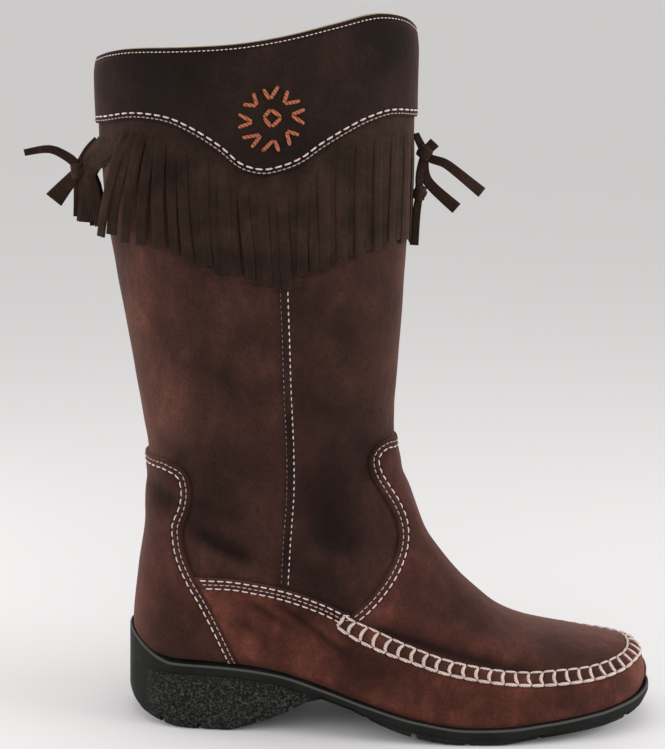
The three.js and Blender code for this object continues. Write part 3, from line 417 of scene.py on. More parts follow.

# Places where the colour is made paler (plus) or darker (minus) on the outer side, partly where the nap lies
# brushed up or down and partly painted light and shade: a painted rim light and painted highlights towards the
# back of the shaft, painted shade in the creases of the ankle and the wall and a painted shadow along the top
# of the puckered band. Middle, half sizes, lean and amount
NAP_AND_PAINTED_PATCHES = [
    (-36, 214, 8, 46, 0.12, 1.0),
    (-25, 164, 13, 24, 0.2, 1.7),
    (-8, 176, 14, 14, 0.3, 0.3),
    (96, 215, 10, 60, -0.08, 0.30),
    (59, 112, 22, 40, -0.1, -1.0),
    (26, 236, 22, 20, 0.0, -0.25),
    (16, 142, 20, 22, 0.0, -0.40),
    (44, 168, 14, 30, 0.0, -0.25),
    (8, 98, 26, 6, -0.42, -0.70),
    (-16, 84, 14, 9, -0.3, 0.30),
    (18, 84, 12, 8, 0.6, 0.45),
    (-26, 106, 12, 28, 0.0, -0.65),
    (62, 54, 22, 7, -0.4, -0.40),
    (40, 66, 20, 6, -0.35, -0.30),
    (122, 46, 50, 4, -0.30, -0.40),
    (98, 96, 16, 30, -0.7, -0.25),
    (136, 58, 30, 12, -0.45, -0.25),
    (180, 48, 26, 10, -0.3, -0.40),
    (78, 38, 30, 10, -0.35, -0.60),
    (130, 22, 60, 12, -0.12, -0.45),
    (20, 52, 16, 7, -0.2, 0.25),
    (-24, 56, 14, 14, 0.0, 0.45),
    (-24, 322, 24, 30, 0.0, -0.70),
]
# Painted shade in the creases' troughs and paler rubbed nap on their ridges, then the listed patches
nap_and_painted_light = RUB_AND_CREASE_SHADE * rumple
for middle_x, middle_z, half_x, half_z, lean, amount in NAP_AND_PAINTED_PATCHES:
    across = (x_of - middle_x) / half_x
    rise = (z_of - middle_z - lean * (x_of - middle_x)) / half_z
    nap_and_painted_light += amount * np.exp(-(across**2 + rise**2)) * np.clip(0.6 - y_of / 25, 0, 1)


def dent(spot):
    """Height of the leather's gentle dents at a point."""
    return noise.noise(Vector(spot) * BROAD_DENTS) + SMALL_SHARE * noise.noise(Vector(spot) * SMALL_DENTS)


dents = np.array([[dent(spot) for spot in row] for row in skin])
rumple += SOFTNESS * dents * np.clip((z_of - 40) / 80, 0.25, 1)


def on_net(net, rows, columns):
    """Values of a net between its points."""
    rows = np.clip(np.asarray(rows, float), 0, ROWS - 1.001)
    r = np.floor(rows).astype(int)
    c = np.floor(columns).astype(int)
    fr = rows - r
    fc = columns - c
    if net.ndim == 3:
        fr = fr[..., None]
        fc = fc[..., None]
    c0 = c % COLUMNS
    c1 = (c + 1) % COLUMNS
    low = net[r, c0] * (1 - fc) + net[r, c1] * fc
    high = net[r + 1, c0] * (1 - fc) + net[r + 1, c1] * fc
    return low * (1 - fr) + high * fr


def leather(rows, columns, height):
    """Points above the last's skin, on the creased leather."""
    lift = (on_net(rumple, rows, columns) + height)[..., None]
    return on_net(skin, rows, columns) + on_net(normal, rows, columns) * lift


def spline(points, pieces=10):
    """A smooth line through points of the side view."""
    p = np.array(points, float)
    found = []
    for i in range(len(p) - 1):
        a, b, c, d = p[max(i - 1, 0)], p[i], p[i + 1], p[min(i + 2, len(p) - 1)]
        for t in np.linspace(0, 1, pieces, endpoint=False):
            bend = 2 * a - 5 * b + 4 * c - d
            twist = 3 * b - a - 3 * c + d
            found.append(0.5 * (2 * b + (c - a) * t + bend * t**2 + twist * t**3))
    found.append(p[-1])
    return np.array(found)


def over(line, z=None):
    """Signed distance of the net above a side-view line that runs from back to front."""
    z = z_of if z is None else z
    slope = np.gradient(line[:, 1], line[:, 0])
    rise = z - np.interp(x_of, line[:, 0], line[:, 1])
    return rise / np.sqrt(1 + np.interp(x_of, line[:, 0], slope) ** 2)


def beside(line):
    """Signed distance of the net from a side-view line, positive on its left, with its ends drawn on."""
    best = np.full(x_of.shape, 1e18)
    signed = np.zeros(x_of.shape)
    for i in range(len(line) - 1):
        ax, az = line[i]
        dx, dz = line[i + 1] - line[i]
        size = math.hypot(dx, dz)
        along = ((x_of - ax) * dx + (z_of - az) * dz) / size**2
        along = np.clip(along, 0 if i else -50, 1 if i < len(line) - 2 else 50)
        gap = (x_of - ax - along * dx) ** 2 + (z_of - az - along * dz) ** 2
        cross = (dx * (z_of - az) - dz * (x_of - ax)) / size
        closer = gap < best
        best = np.where(closer, gap, best)
        signed = np.where(closer, np.copysign(np.sqrt(gap), cross), signed)
    return signed


def cut_panel(*fields):
    """The part of the net where every field is above zero, cut cleanly along the fields' zero lines."""
    around = [[f[:-1], f[1:], np.roll(f, -1, 1)[:-1], np.roll(f, -1, 1)[1:]] for f in fields]
    low = np.min([np.minimum.reduce(four) for four in around], axis=0)
    high = np.min([np.maximum.reduce(four) for four in around], axis=0)
    spots = {}
    places_found = []
    values = []
    faces = []

    def spot(key, row, column, at):
        if key not in spots:
            spots[key] = len(places_found)
            places_found.append((row, column))
            values.append(at)
        return spots[key]

    def corner(r, c):
        return spot((r, c % COLUMNS), r, c % COLUMNS, [f[r, c % COLUMNS] for f in fields])

    for r, c in zip(*np.nonzero(high > 0)):
        ring = [corner(r, c), corner(r, c + 1), corner(r + 1, c + 1), corner(r + 1, c)]
        if low[r, c] <= 0:
            for k in range(len(fields)):
                cut = []
                for i, a in enumerate(ring):
                    b = ring[(i + 1) % len(ring)]
                    va, vb = values[a][k], values[b][k]
                    if va > 0:
                        cut.append(a)
                    if (va > 0) != (vb > 0):
                        f = va / (va - vb)
                        (ra, ca), (rb, cb) = places_found[a], places_found[b]
                        if abs(ca - cb) > COLUMNS / 2:
                            if ca < cb:
                                ca += COLUMNS
                            else:
                                cb += COLUMNS
                        at = [one + (other - one) * f for one, other in zip(values[a], values[b])]
                        at[k] = 0.0
                        key = (k, min(a, b), max(a, b))
                        cut.append(spot(key, ra + (rb - ra) * f, ca + (cb - ca) * f, at))
                ring = cut
                if len(ring) < 3:
                    break
        if len(ring) >= 3:
            faces.append(ring)
    return np.array(places_found, float), faces


def make_piece(name, points, faces, material, shares=None, sharp=()):
    """A mesh object of the boot, from points in millimetres."""
    mesh = bpy.data.meshes.new(name)
    mesh.from_pydata((np.asarray(points) * MM).tolist(), [], faces)
    mesh.shade_smooth()
    for key, value in (shares or {}).items():
        field = mesh.attributes.new(key, "FLOAT", "POINT")
        field.data.foreach_set("value", np.asarray(value, np.float32))
    if len(sharp):
        wanted = {tuple(sorted(edge)) for edge in sharp}
        field = mesh.attributes.new("sharp_edge", "BOOLEAN", "EDGE")
        field.data.foreach_set("value", [tuple(sorted(e.vertices)) in wanted for e in mesh.edges])
    mesh.materials.append(material)
    mesh.validate()
    piece = bpy.data.objects.new(name, mesh)
    scene.collection.objects.link(piece)
    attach(piece, "root")
    return piece


def panel_piece(name, material, fields, top, sunk=-0.4, shares=None, edge_drop=0.15, under=None):
    """A sheet of leather on the last: a face at its height with a cut edge all round, or a closed wall."""
    spots_at, faces = cut_panel(*fields)
    used = sorted({i for face in faces for i in face})
    renumber = {old: new for new, old in enumerate(used)}
    spots_at = spots_at[used]
    faces = [[renumber[i] for i in face] for face in faces]
    rows, columns = spots_at[:, 0], spots_at[:, 1]
    directed = dict.fromkeys((a, b) for face in faces for a, b in zip(face, face[1:] + face[:1]))
    rim = [(a, b) for a, b in directed if (b, a) not in directed]
    height = on_net(top, rows, columns) if isinstance(top, np.ndarray) else np.full(len(rows), float(top))
    rim_spots = sorted({i for edge in rim for i in edge})
    height[rim_spots] -= edge_drop
    face_points = leather(rows, columns, height)
    # The piece carries the nap's tone with the painted light and shade of the creases and patches
    nets = {"nap_and_painted_light": nap_and_painted_light, **(shares or {})}
    extra = {key: on_net(net, rows, columns) for key, net in nets.items()}
    count = len(rows)
    if under is None:
        lower = {old: count + i for i, old in enumerate(rim_spots)}
        skirt = leather(rows[rim_spots], columns[rim_spots], np.full(len(rim_spots), float(sunk)))
        points = np.concatenate([face_points, skirt])
        walls = [[b, a, lower[a], lower[b]] for a, b in rim]
        extra = {key: np.concatenate([value, value[rim_spots]]) for key, value in extra.items()}
        return make_piece(name, points, faces + walls, material, extra, rim)
    points = np.concatenate([face_points, leather(rows, columns, np.full(count, float(under)))])
    walls = [[b, a, count + a, count + b] for a, b in rim]
    inside = [[count + i for i in reversed(face)] for face in faces]
    extra = {key: np.concatenate([value, value]) for key, value in extra.items()}
    return make_piece(name, points, faces + walls + inside, material, extra, rim)


def shader_group(name, inputs, outputs):
    group = bpy.data.node_groups.new(name, "ShaderNodeTree")
    for label, kind, value in inputs:
        socket = group.interface.new_socket(label, in_out="INPUT", socket_type=kind)
        if value is not None:
            socket.default_value = value
    for label, kind in outputs:
        group.interface.new_socket(label, in_out="OUTPUT", socket_type=kind)
    return group, group.nodes.new("NodeGroupInput"), group.nodes.new("NodeGroupOutput")


def feed(tree, socket, given):
    """A value, or a link from another socket."""
    if isinstance(given, bpy.types.NodeSocket):
        tree.links.new(given, socket)
    else:
        socket.default_value = given


def put(tree, kind, settings=None, **inputs):
    """A node with its settings and its inputs, by name or, after a low line, by number."""
    node = tree.nodes.new(kind)
    for key, value in (settings or {}).items():
        setattr(node, key, value)
    for key, value in inputs.items():
        feed(tree, node.inputs[int(key[1:]) if key[0] == "_" else key.replace("_", " ")], value)
    return node


def calc(tree, operation, a, b=0.0):
    return put(tree, "ShaderNodeMath", {"operation": operation}, _0=a, _1=b).outputs[0]


def blend_colour(tree, share, a, b, kind="MIX"):
    node = put(tree, "ShaderNodeMix", {"data_type": "RGBA", "blend_type": kind}, _0=share, _6=a, _7=b)
    return node.outputs[2]


def shaded(tree, colour, level):
    """A colour times a grey level."""
    grey = put(tree, "ShaderNodeCombineColor", _0=level, _1=level, _2=level).outputs[0]
    return blend_colour(tree, 1.0, colour, grey, "MULTIPLY")


def between(tree, value, low, high, to_low=0.0, to_high=1.0, smooth=True):
    """A value from low to high turned into one from to_low to to_high, and held beyond them."""
    node = put(tree, "ShaderNodeMapRange", {"interpolation_type": "SMOOTHSTEP" if smooth else "LINEAR"})
    for i, given in enumerate((value, low, high, to_low, to_high)):
        feed(tree, node.inputs[i], given)
    return node.outputs[0]


def cloud(tree, where, scale, detail=4.0, **more):
    """Noise at a place, as a value."""
    return put(tree, "ShaderNodeTexNoise", Vector=where, Scale=scale, Detail=detail, **more).outputs[0]


def share_on(tree, name):
    """A share that the piece's points carry."""
    return put(tree, "ShaderNodeAttribute", {"attribute_name": name}).outputs["Fac"]


# The nap: large brushed blotches, streaks where the pile lies another way, and fine fibres
nap, nap_in, nap_out = shader_group(
    "suede_nap",
    [
        ("Place", "NodeSocketVector", None),
        ("Deep", "NodeSocketColor", (0.02, 0.01, 0.008, 1)),
        ("Body", "NodeSocketColor", (0.06, 0.02, 0.016, 1)),
        ("Brushed", "NodeSocketColor", (0.12, 0.04, 0.03, 1)),
        ("Blotch Scale", "NodeSocketFloat", 22.0),
        ("Brushing", "NodeSocketFloat", 0.6),
    ],
    [("Color", "NodeSocketColor"), ("Roughness", "NodeSocketFloat"), ("Height", "NodeSocketFloat")],
)
place = nap_in.outputs["Place"]
blotch = cloud(nap, place, nap_in.outputs["Blotch Scale"], Roughness=0.5, Distortion=0.2)
streak_place = put(nap, "ShaderNodeMapping", Vector=place, Scale=(1.0, 1.0, 0.55)).outputs[0]
streak = cloud(nap, streak_place, 95.0, Roughness=0.55, Distortion=0.6)
fibre = cloud(nap, place, 1500.0, 3.0, Roughness=0.7)
tuft = cloud(nap, place, 520.0, 3.0, Roughness=0.65)
base = blend_colour(nap, between(nap, blotch, 0.22, 0.66), nap_in.outputs["Deep"], nap_in.outputs["Body"])
lit = calc(nap, "MULTIPLY", between(nap, streak, 0.42, 0.78), nap_in.outputs["Brushing"])
lit = calc(nap, "MULTIPLY", lit, between(nap, blotch, 0.3, 0.6))
base = blend_colour(nap, lit, base, nap_in.outputs["Brushed"])
pile = between(nap, fibre, 0.3, 0.72, 0.72, 1.25)
pile = calc(nap, "MULTIPLY", pile, between(nap, tuft, 0.3, 0.7, 0.86, 1.12))
nap.links.new(shaded(nap, base, pile), nap_out.inputs["Color"])
nap.links.new(between(nap, blotch, 0.3, 0.7, 0.98, 0.84), nap_out.inputs["Roughness"])
height = calc(nap, "MULTIPLY", fibre, 0.35)
height = calc(nap, "ADD", height, calc(nap, "MULTIPLY", tuft, 0.5))
height = calc(nap, "ADD", height, calc(nap, "MULTIPLY", streak, 1.1))
nap.links.new(height, nap_out.inputs["Height"])

# A sewn row pulls a narrow furrow into the leather: 1 in the row, fading to 0 beside it
furrow, furrow_in, furrow_out = shader_group(
    "sewn_furrow",
    [(name, "NodeSocketFloat", value) for name, value in (("From Edge", 0.0), ("Row", 1.5), ("Width", 1.2))],
    [("Furrow", "NodeSocketFloat")],
)
off_row = calc(furrow, "ABSOLUTE", calc(furrow, "SUBTRACT", furrow_in.outputs[0], furrow_in.outputs[1]))
off_row = calc(furrow, "DIVIDE", off_row, furrow_in.outputs[2])
furrow.links.new(between(furrow, off_row, 0.0, 1.0, 1.0, 0.0), furrow_out.inputs[0])


def new_finish(name):
    """A material to fill in, with its nodes, its shader and the place on the piece."""
    made = bpy.data.materials.new(name)
    made.use_nodes = True
    tree = made.node_tree
    return made, tree, tree.nodes["Principled BSDF"], put(tree, "ShaderNodeTexCoord").outputs["Object"]


def finish_with(tree, shader, colour, roughness, relief, strength, distance):
    """The colour, roughness and relief of a finish, led into its shader."""
    bump = put(tree, "ShaderNodeBump", Strength=strength, Distance=distance, Height=relief)
    for label, value in (("Base Color", colour), ("Roughness", roughness), ("Normal", bump.outputs[0])):
        tree.links.new(value, shader.inputs[label])


PILE_RELIEF = 0.00045  # metres, as the next two
FURROW_DEPTH = 0.0006
EDGE_ROLL = -0.0007
FURROW_WIDTH = 1.5
SHEEN_TINT = (0.60, 0.35, 0.31, 1)


def suede(name, deep, body, brushed, blotch_scale=22.0, brushing=0.6, sheen=0.28, rows=()):
    """Dyed suede: the nap group, the piece's nap tone with its painted light and shade, furrows under its sewn
    rows and its cut edge darkened with painted shade, and the soft bloom of a raised pile.
    """
    made, tree, shader, where = new_finish(name)
    group = put(
        tree, "ShaderNodeGroup", {"node_tree": nap}, Place=where, Deep=deep, Body=body, Brushed=brushed,
        Blotch_Scale=blotch_scale, Brushing=brushing,
    )
    # The carried nap tone and painted light and shade brighten or darken the suede's colour
    level = between(tree, share_on(tree, "nap_and_painted_light"), -1.0, 2.0, 0.25, 2.5, smooth=False)
    colour = shaded(tree, group.outputs["Color"], level)
    height = calc(tree, "MULTIPLY", group.outputs["Height"], PILE_RELIEF)
    if rows:
        edge = share_on(tree, "from_edge")
        row_shadow, edge_shadow = (tuple(dark * v for v in deep[:3]) + (1,) for dark in (0.4, 0.5))
        for row in rows:
            given = {"From_Edge": edge, "Row": row, "Width": FURROW_WIDTH}
            dip = put(tree, "ShaderNodeGroup", {"node_tree": furrow}, **given).outputs[0]
            height = calc(tree, "SUBTRACT", height, calc(tree, "MULTIPLY", dip, FURROW_DEPTH))
            colour = blend_colour(tree, calc(tree, "MULTIPLY", dip, 0.45), colour, row_shadow)
        height = calc(tree, "ADD", height, between(tree, edge, 0.0, 1.4, EDGE_ROLL, 0.0))
        colour = blend_colour(tree, between(tree, edge, 0.0, 0.7, 0.55, 0.0), colour, edge_shadow)
    finish_with(tree, shader, colour, group.outputs["Roughness"], height, 0.9, 1.0)
    shader.inputs["Specular IOR Level"].default_value = 0.12
    shader.inputs["Sheen Weight"].default_value = sheen
    shader.inputs["Sheen Roughness"].default_value = 0.45
    shader.inputs["Sheen Tint"].default_value = SHEEN_TINT
    return made


# Collar: place across the shaft, and depth under its high point as a share of the collar's dip
COLLAR = [
    (-0.53, 1.02),
    (-0.477, 0.9),
    (-0.435, 0.82),
    (-0.36, 0.755),
    (-0.2, 0.715),
    (-0.045, 0.638),
    (0.1, 0.478),
    (0.25, 0.235),
    (0.34, 0.078),
    (0.4, 0.035),
    (0.46, 0.095),
    (0.5, 0.27),
    (0.53, 0.5),
]
collar_line = spline([(SHAFT_AXIS + a * SHAFT_DEPTH, BOOT_HEIGHT - dip * COLLAR_DIP) for a, dip in COLLAR])
feather_line = np.stack([foot_x(np.linspace(0, 1, 60)), feather_at(np.linspace(0, 1, 60))], axis=1)

brown_suede = suede(
    "brown_suede", (0.0125, 0.0066, 0.0048, 1), (0.039, 0.0148, 0.0105, 1), (0.086, 0.0305, 0.0215, 1),
    brushing=0.5,
)
above_feather = over(feather_line) - FEATHER_MARGIN
in_bed = over(feather_line) + FEATHER_MARGIN
below_collar = -over(collar_line, z=z_of + COLLAR_TILT * y_of)
upper = panel_piece("upper_leather", brown_suede, [above_feather, below_collar], 0.0, sunk=-UPPER_WALL)
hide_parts("upper")

# Lining: thin tan leather glued inside the whole upper. At the collar it is brought up between the upper and
# the cuff's edge, where a narrow binding of it shows, and stitched through.
LINING_THICKNESS = 0.6
STAINED_TAN = (0.36, 0.25, 0.14, 1)
CLEAN_TAN = (0.46, 0.34, 0.20, 1)
lining_leather, tree, shader, where = new_finish("lining_leather")
pores = cloud(tree, where, 900.0, 3.0)
colour = blend_colour(tree, between(tree, cloud(tree, where, 35.0), 0.3, 0.7), STAINED_TAN, CLEAN_TAN)
finish_with(tree, shader, colour, between(tree, pores, 0.3, 0.7, 0.6, 0.8), pores, 0.5, 0.0004)
lining = panel_piece(
    "lining", lining_leather, [above_feather, below_collar - 0.3], -UPPER_WALL,
    under=-UPPER_WALL - LINING_THICKNESS, edge_drop=0.0,
)

# Insole: a board under a tan leather sock, cut to the last's outline, with slightly raised edges. The upper is
# lasted round it, so it lies inside the upper, just over the sole.
INSOLE_THICKNESS = 3
INSOLE_INSET = 3.2
INSOLE_CUP = 1.1  # how much its edges rise
HEEL_TUCK = 1.8  # how much narrower it is cut on each side of the heel
INSOLE_GAP = 0.3  # of its underside over the upper's turned-in edge
INSOLE_TIP = 0.6  # half its width at its two ends
SOCK_STEPS = 70
SOCK_CELLS = 12
below = SOCK_CELLS + 1  # from a point of the upper face to the one under it
insole_points = []
insole_faces = []
for i in range(SOCK_STEPS + 1):
    along = (1 - math.cos(math.pi * i / SOCK_STEPS)) / 2
    x = foot_x(INSOLE_INSET / FOOT_LENGTH + along * (1 - 2 * INSOLE_INSET / FOOT_LENGTH))
    base_z = feather_at(along) + UPPER_WALL + INSOLE_GAP
    tuck = INSOLE_INSET + HEEL_TUCK * min(max(1 - along / 0.35, 0), 1)
    low_y = middle_line(turn_of(along)) - max(outer_half(turn_of(along)) - tuck, INSOLE_TIP)
    high_y = middle_line(turn_of(along)) + max(inner_half(turn_of(along)) - tuck, INSOLE_TIP)
    spread = [(low_y + (high_y - low_y) * (j / SOCK_CELLS), 2 * j / SOCK_CELLS - 1) for j in range(below)]
    insole_points += [(x, y, base_z + INSOLE_THICKNESS * 0.8 + INSOLE_CUP * out**4) for y, out in spread]
    insole_points += [(x, y, base_z) for y, _ in spread]
for a in range(0, SOCK_STEPS * 2 * below, 2 * below):
    b = a + 2 * below
    for j in range(SOCK_CELLS):
        insole_faces.append((a + j, b + j, b + j + 1, a + j + 1))
        insole_faces.append((a + below + j, a + below + j + 1, b + below + j + 1, b + below + j))
    insole_faces.append((a, a + below, b + below, b))
    insole_faces.append((a + SOCK_CELLS, b + SOCK_CELLS, b + below + SOCK_CELLS, a + below + SOCK_CELLS))
for a, order in ((0, 1), (SOCK_STEPS * 2 * below, -1)):
    for j in range(SOCK_CELLS):
        insole_faces.append((a + j, a + j + 1, a + below + j + 1, a + below + j)[::order])
insole = make_piece("insole_sock", insole_points, insole_faces, lining_leather)
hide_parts("insole")

# Panels of the foot: the heel counter, the side wall and the vamp, cut from suede with raw edges and sewn
# onto the upper. The counter laps over the wall.
COUNTER_HEIGHT = 1.9  # of a panel's face over the last
WALL_HEIGHT_OUT = 1.5
VAMP_HEIGHT = 1.6
WALL_HEIGHT = 25
SEAM_BAND = 8.8
BAND_START = 0.403

# Moccasin seam: share of length, height as a share of the wall's, the band's height as a share of its size,
# and how much higher the inner side's seam is
MOC_SEAM = [
    (0.34, 1.85, 0.85, 0),
    (0.405, 1.545, 0.88, 0),
    (0.46, 1.456, 0.95, 0.02),
    (0.53, 1.385, 0.81, 0.05),
    (0.6, 1.28, 0.71, 0.08),
    (0.68, 1.14, 0.64, 0.11),
    (0.76, 0.99, 0.62, 0.13),
    (0.84, 0.873, 0.56, 0.11),
    (0.9, 0.815, 0.535, 0.055),
    (0.95, 0.792, 0.515, 0.01),
    (0.98, 0.79, 0.5, 0),
    (1.04, 0.79, 0.5, 0),
]


def moc_line(edge, inner_side=False):
    """The band's middle line (edge 0) or one of its edges (-1, 1); the inner side's is higher."""
    points = []
    for a, rise, band, extra in MOC_SEAM:
        middle = float(feather_at(min(a, 1))) + (rise + extra * inner_side) * WALL_HEIGHT
        points.append((float(foot_x(a)), middle + edge * band * SEAM_BAND / 2))
    return spline(points)


def over_moc(edge):
    return np.where(y_of > 0, over(moc_line(edge, True)), over(moc_line(edge)))


def rear_line(rows):
    return spline([(float(foot_x(a)), HEEL_SEAT + rise * INSTEP_HEIGHT) for a, rise in rows])


# Top of the wall behind the puckered band
WALL_TOP = [
    (0.1, 0.4),
    (0.18, 0.402),
    (0.235, 0.385),
    (0.295, 0.355),
    (0.36, 0.307),
    (0.405, 0.262),
]
# Edge of the counter, from the back of the ankle down to the sole
COUNTER_EDGE = [
    (-0.2, 0.884),
    (0.035, 0.884),
    (0.07, 0.876),
    (0.099, 0.846),
    (0.11, 0.77),
    (0.105, 0.68),
    (0.096, 0.6),
    (0.1, 0.5),
    (0.12, 0.395),
    (0.145, 0.3),
    (0.175, 0.165),
    (0.21, 0),
    (0.23, -0.1),
]
# Edge of the vamp, from the front of the ankle down to the band
VAMP_EDGE = [
    (0.6, 0.96),
    (0.505, 0.965),
    (0.48, 0.972),
    (0.456, 0.945),
    (0.446, 0.9),
    (0.451, 0.84),
    (0.468, 0.765),
    (0.488, 0.69),
    (0.503, 0.61),
    (0.505, 0.53),
    (0.493, 0.45),
    (0.47, 0.37),
    (0.44, 0.295),
    (0.41, 0.24),
]
wall_top = rear_line(WALL_TOP)
counter_edge = rear_line(COUNTER_EDGE)
vamp_edge = rear_line(VAMP_EDGE)
band_start = float(foot_x(BAND_START))
in_counter = -beside(counter_edge)
in_vamp = beside(vamp_edge)
over_band = over_moc(1)
under_band = -over_moc(-1)
under_top = np.where(x_of < band_start, -over(wall_top), under_band + 1.0)

counter_suede = suede(
    "counter_suede", (0.017, 0.0075, 0.0052, 1), (0.056, 0.0170, 0.0118, 1), (0.118, 0.0385, 0.0265, 1),
    brushing=0.55, rows=(1.6, 4.1),
)
wall_suede = suede(
    "wall_suede", (0.027, 0.0100, 0.0066, 1), (0.088, 0.0250, 0.0158, 1), (0.165, 0.0520, 0.0340, 1),
    blotch_scale=30.0, brushing=0.65, rows=(1.0,)
)
counter = panel_piece(
    "counter_leather", counter_suede, [in_counter, in_bed], COUNTER_HEIGHT, shares={"from_edge": in_counter}
)
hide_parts("heel_counter")
wall = panel_piece(
    "wall_leather", wall_suede, [under_top, -in_counter + 0.4, in_bed], WALL_HEIGHT_OUT,
    shares={"from_edge": np.minimum(under_top, 8)},
)
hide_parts("side_wall")
vamp = panel_piece(
    "vamp_leather", counter_suede, [in_vamp, over_band + 1.0], VAMP_HEIGHT, shares={"from_edge": in_vamp}
)
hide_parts("vamp")

# Flat seam on top of the wall: a narrow folded strip, one on each side, sewn down with three rows of thread
# from the counter to the puckered band.
WALL_TAPE = 5.5
TAPE_HEIGHT = 2.0
for side, node in ((-1, "wall_seam_outer"), (1, "wall_seam_inner")):
    from_top = -over(wall_top)
    tape = panel_piece(
        f"{node}_strip", counter_suede,
        [from_top + 0.3, WALL_TAPE - from_top, band_start + 3 - x_of, -in_counter - 0.3, y_of * side],
        TAPE_HEIGHT, sunk=WALL_HEIGHT_OUT - 0.4, shares={"from_edge": from_top + 50},
    )
    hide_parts(node)

# Upright seam in the middle of each side: a narrow strip of dark suede laid over the shaft's two halves where
# they meet, from the flat seam up to the cuff, and sewn down along both edges.
SIDE_TAPE = 3.4
SIDE_TAPE_HEIGHT = 0.55
SIDE_SEAM = [
    (0.125, 0.37, 0),
    (0.13, 0.56, 0),
    (0.138, 0.78, 0),
    (0.134, 1, 0),
    (0.124, 1, 0.12),
    (0.117, 1, 0.24),
    (0.109, 1, 0.36),
    (0.108, 1, 0.42),
]
side_seam = spline([
    (SHAFT_AXIS + a * SHAFT_DEPTH, HEEL_SEAT + rise * INSTEP_HEIGHT + climb * SHAFT_HEIGHT)
    for a, rise, climb in SIDE_SEAM
])
dark_suede = suede(
    "dark_suede", (0.0095, 0.0058, 0.0040, 1), (0.023, 0.0110, 0.0078, 1), (0.055, 0.0225, 0.0165, 1),
    sheen=0.2, blotch_scale=30.0, brushing=0.5,
)
from_seam = beside(side_seam)
for side, node in ((-1, "side_seam_outer"), (1, "side_seam_inner")):
    tape = panel_piece(
        f"{node}_strip", dark_suede,
        [from_seam + SIDE_TAPE / 2, SIDE_TAPE / 2 - from_seam, over(wall_top) - 0.2, side_seam[-1][1] - z_of,
         y_of * side],
        SIDE_TAPE_HEIGHT, sunk=-0.5,
    )
    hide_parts(node)

# Cuff: a deep collar piece of darker suede over the top of the shaft, cut low at the sides, with its lower
# edge sewn down over the fringe and its upper edge sewn through the turned-over lining.
CUFF_HEIGHT = 47.4
CUFF_BOW = 28
CUFF_STAND = 2.5
SKIVED_COLLAR = 1.1  # height of the cuff where it is thinned for the collar's seam
CUFF_EDGE = [
    (-0.53, 0.34),
    (-0.448, 0.245),
    (-0.37, 0.15),
    (-0.305, 0.145),
    (-0.239, 0.205),
    (-0.165, 0.39),
    (-0.1, 0.615),
    (-0.035, 0.9),
    (0.035, 1),
    (0.1, 0.93),
    (0.16, 0.785),
    (0.22, 0.54),
    (0.29, 0.295),
    (0.36, 0.095),
    (0.43, 0),
    (0.53, 0.1),
]
cuff_edge = spline([
    (SHAFT_AXIS + a * SHAFT_DEPTH, BOOT_HEIGHT - CUFF_HEIGHT - bow * CUFF_BOW) for a, bow in CUFF_EDGE
])
cuff_suede = suede(
    "cuff_suede", (0.0062, 0.0042, 0.0030, 1), (0.0150, 0.0080, 0.0056, 1), (0.034, 0.0155, 0.0110, 1),
    sheen=0.2, blotch_scale=22.0, brushing=0.45, rows=(1.3, 3.1),
)
over_cuff = over(cuff_edge)
thinned = np.clip(below_collar / 9, 0, 1)
cuff_top = SKIVED_COLLAR + (CUFF_STAND - SKIVED_COLLAR) * thinned * (2 - thinned)
cuff = panel_piece(
    "cuff_leather", cuff_suede, [over_cuff, below_collar], cuff_top, sunk=-UPPER_WALL,
    shares={"from_edge": np.minimum(over_cuff, below_collar + 0.6)}, edge_drop=0.3,
)
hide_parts("cuff")
binding = panel_piece(
    "collar_binding", lining_leather, [below_collar + 0.35, 0.05 - below_collar], -0.2,
    under=-UPPER_WALL - LINING_THICKNESS,
)

# Sole unit: one black rubber moulding, smooth along its rim and at the forefoot, rough on the wall of the low
# heel and the arch, with a cupped back and cross grooves in its tread. The upper is cemented into it.
LIP = 2.2
LIP_HEIGHT = 2.5
RIM_BAND = 5
RIM_STEP = 1.2
FLUSH_BACK = 0.05
HEEL_CUP = 12
ARCH_THICKNESS = 3
EDGE_BEVEL = 1.6
TREAD_DEPTH = 2.2
TREAD_WIDTH = 2.4
SOLE_PROUD = 2.0 + LIP
GROOVES = [0.066, 0.137, 0.246, 0.308, 0.454, 0.542, 0.642, 0.777, 0.948]

# Ground line: share of length, and the tread's height as a share of the feather line's
GROUND = [
    (0, 0.4),
    (0.012, 0.26),
    (0.028, 0.155),
    (0.05, 0.085),
    (0.08, 0.02),
    (0.1, 0),
    (0.187, 0),
    (0.217, 0.06),
    (0.25, 0.17),
    (0.302, 0.4),
    (0.35, 0.74),
    (0.385, 0.92),
    (0.413, 0.87),
    (0.45, 0.73),
    (0.494, 0.54),
    (0.543, 0.31),
    (0.587, 0.12),
    (0.62, 0),
    (0.7, 0),
    (0.755, 0.28),
    (0.79, 0.38),
    (0.846, 0.45),
    (0.93, 0.52),
    (0.97, 0.65),
    (1, 0.88),
]
ground_share = by_column([row[0] for row in GROUND], [row[1] for row in GROUND])
feather_there = feather_at(np.clip((x_of - HEEL_BACK) / FOOT_LENGTH, 0, 1))
foot_part = (z_of < feather_there + 22) & (z_of > feather_there + 0.7)
leather_face = skin + normal * 1.1


def skin_half(x, z, side):
    """Distance of the leather from the foot's middle line at a place low on one side."""
    spots = leather_face[foot_part & (normal[..., 1] * side > -0.05)]
    gap = (spots[:, 0] - x) ** 2 + (spots[:, 2] - z) ** 2
    near = np.argpartition(gap, 4)[:5]
    if gap[near].min() > 9:
        return 0.0
    share = 1 / (gap[near] + 0.2)
    middle = float(middle_line(turn_of(np.clip((x - HEEL_BACK) / FOOT_LENGTH, 0, 1))))
    return float(max(((spots[near, 1] * share).sum() / share.sum() - middle) * side, 0))


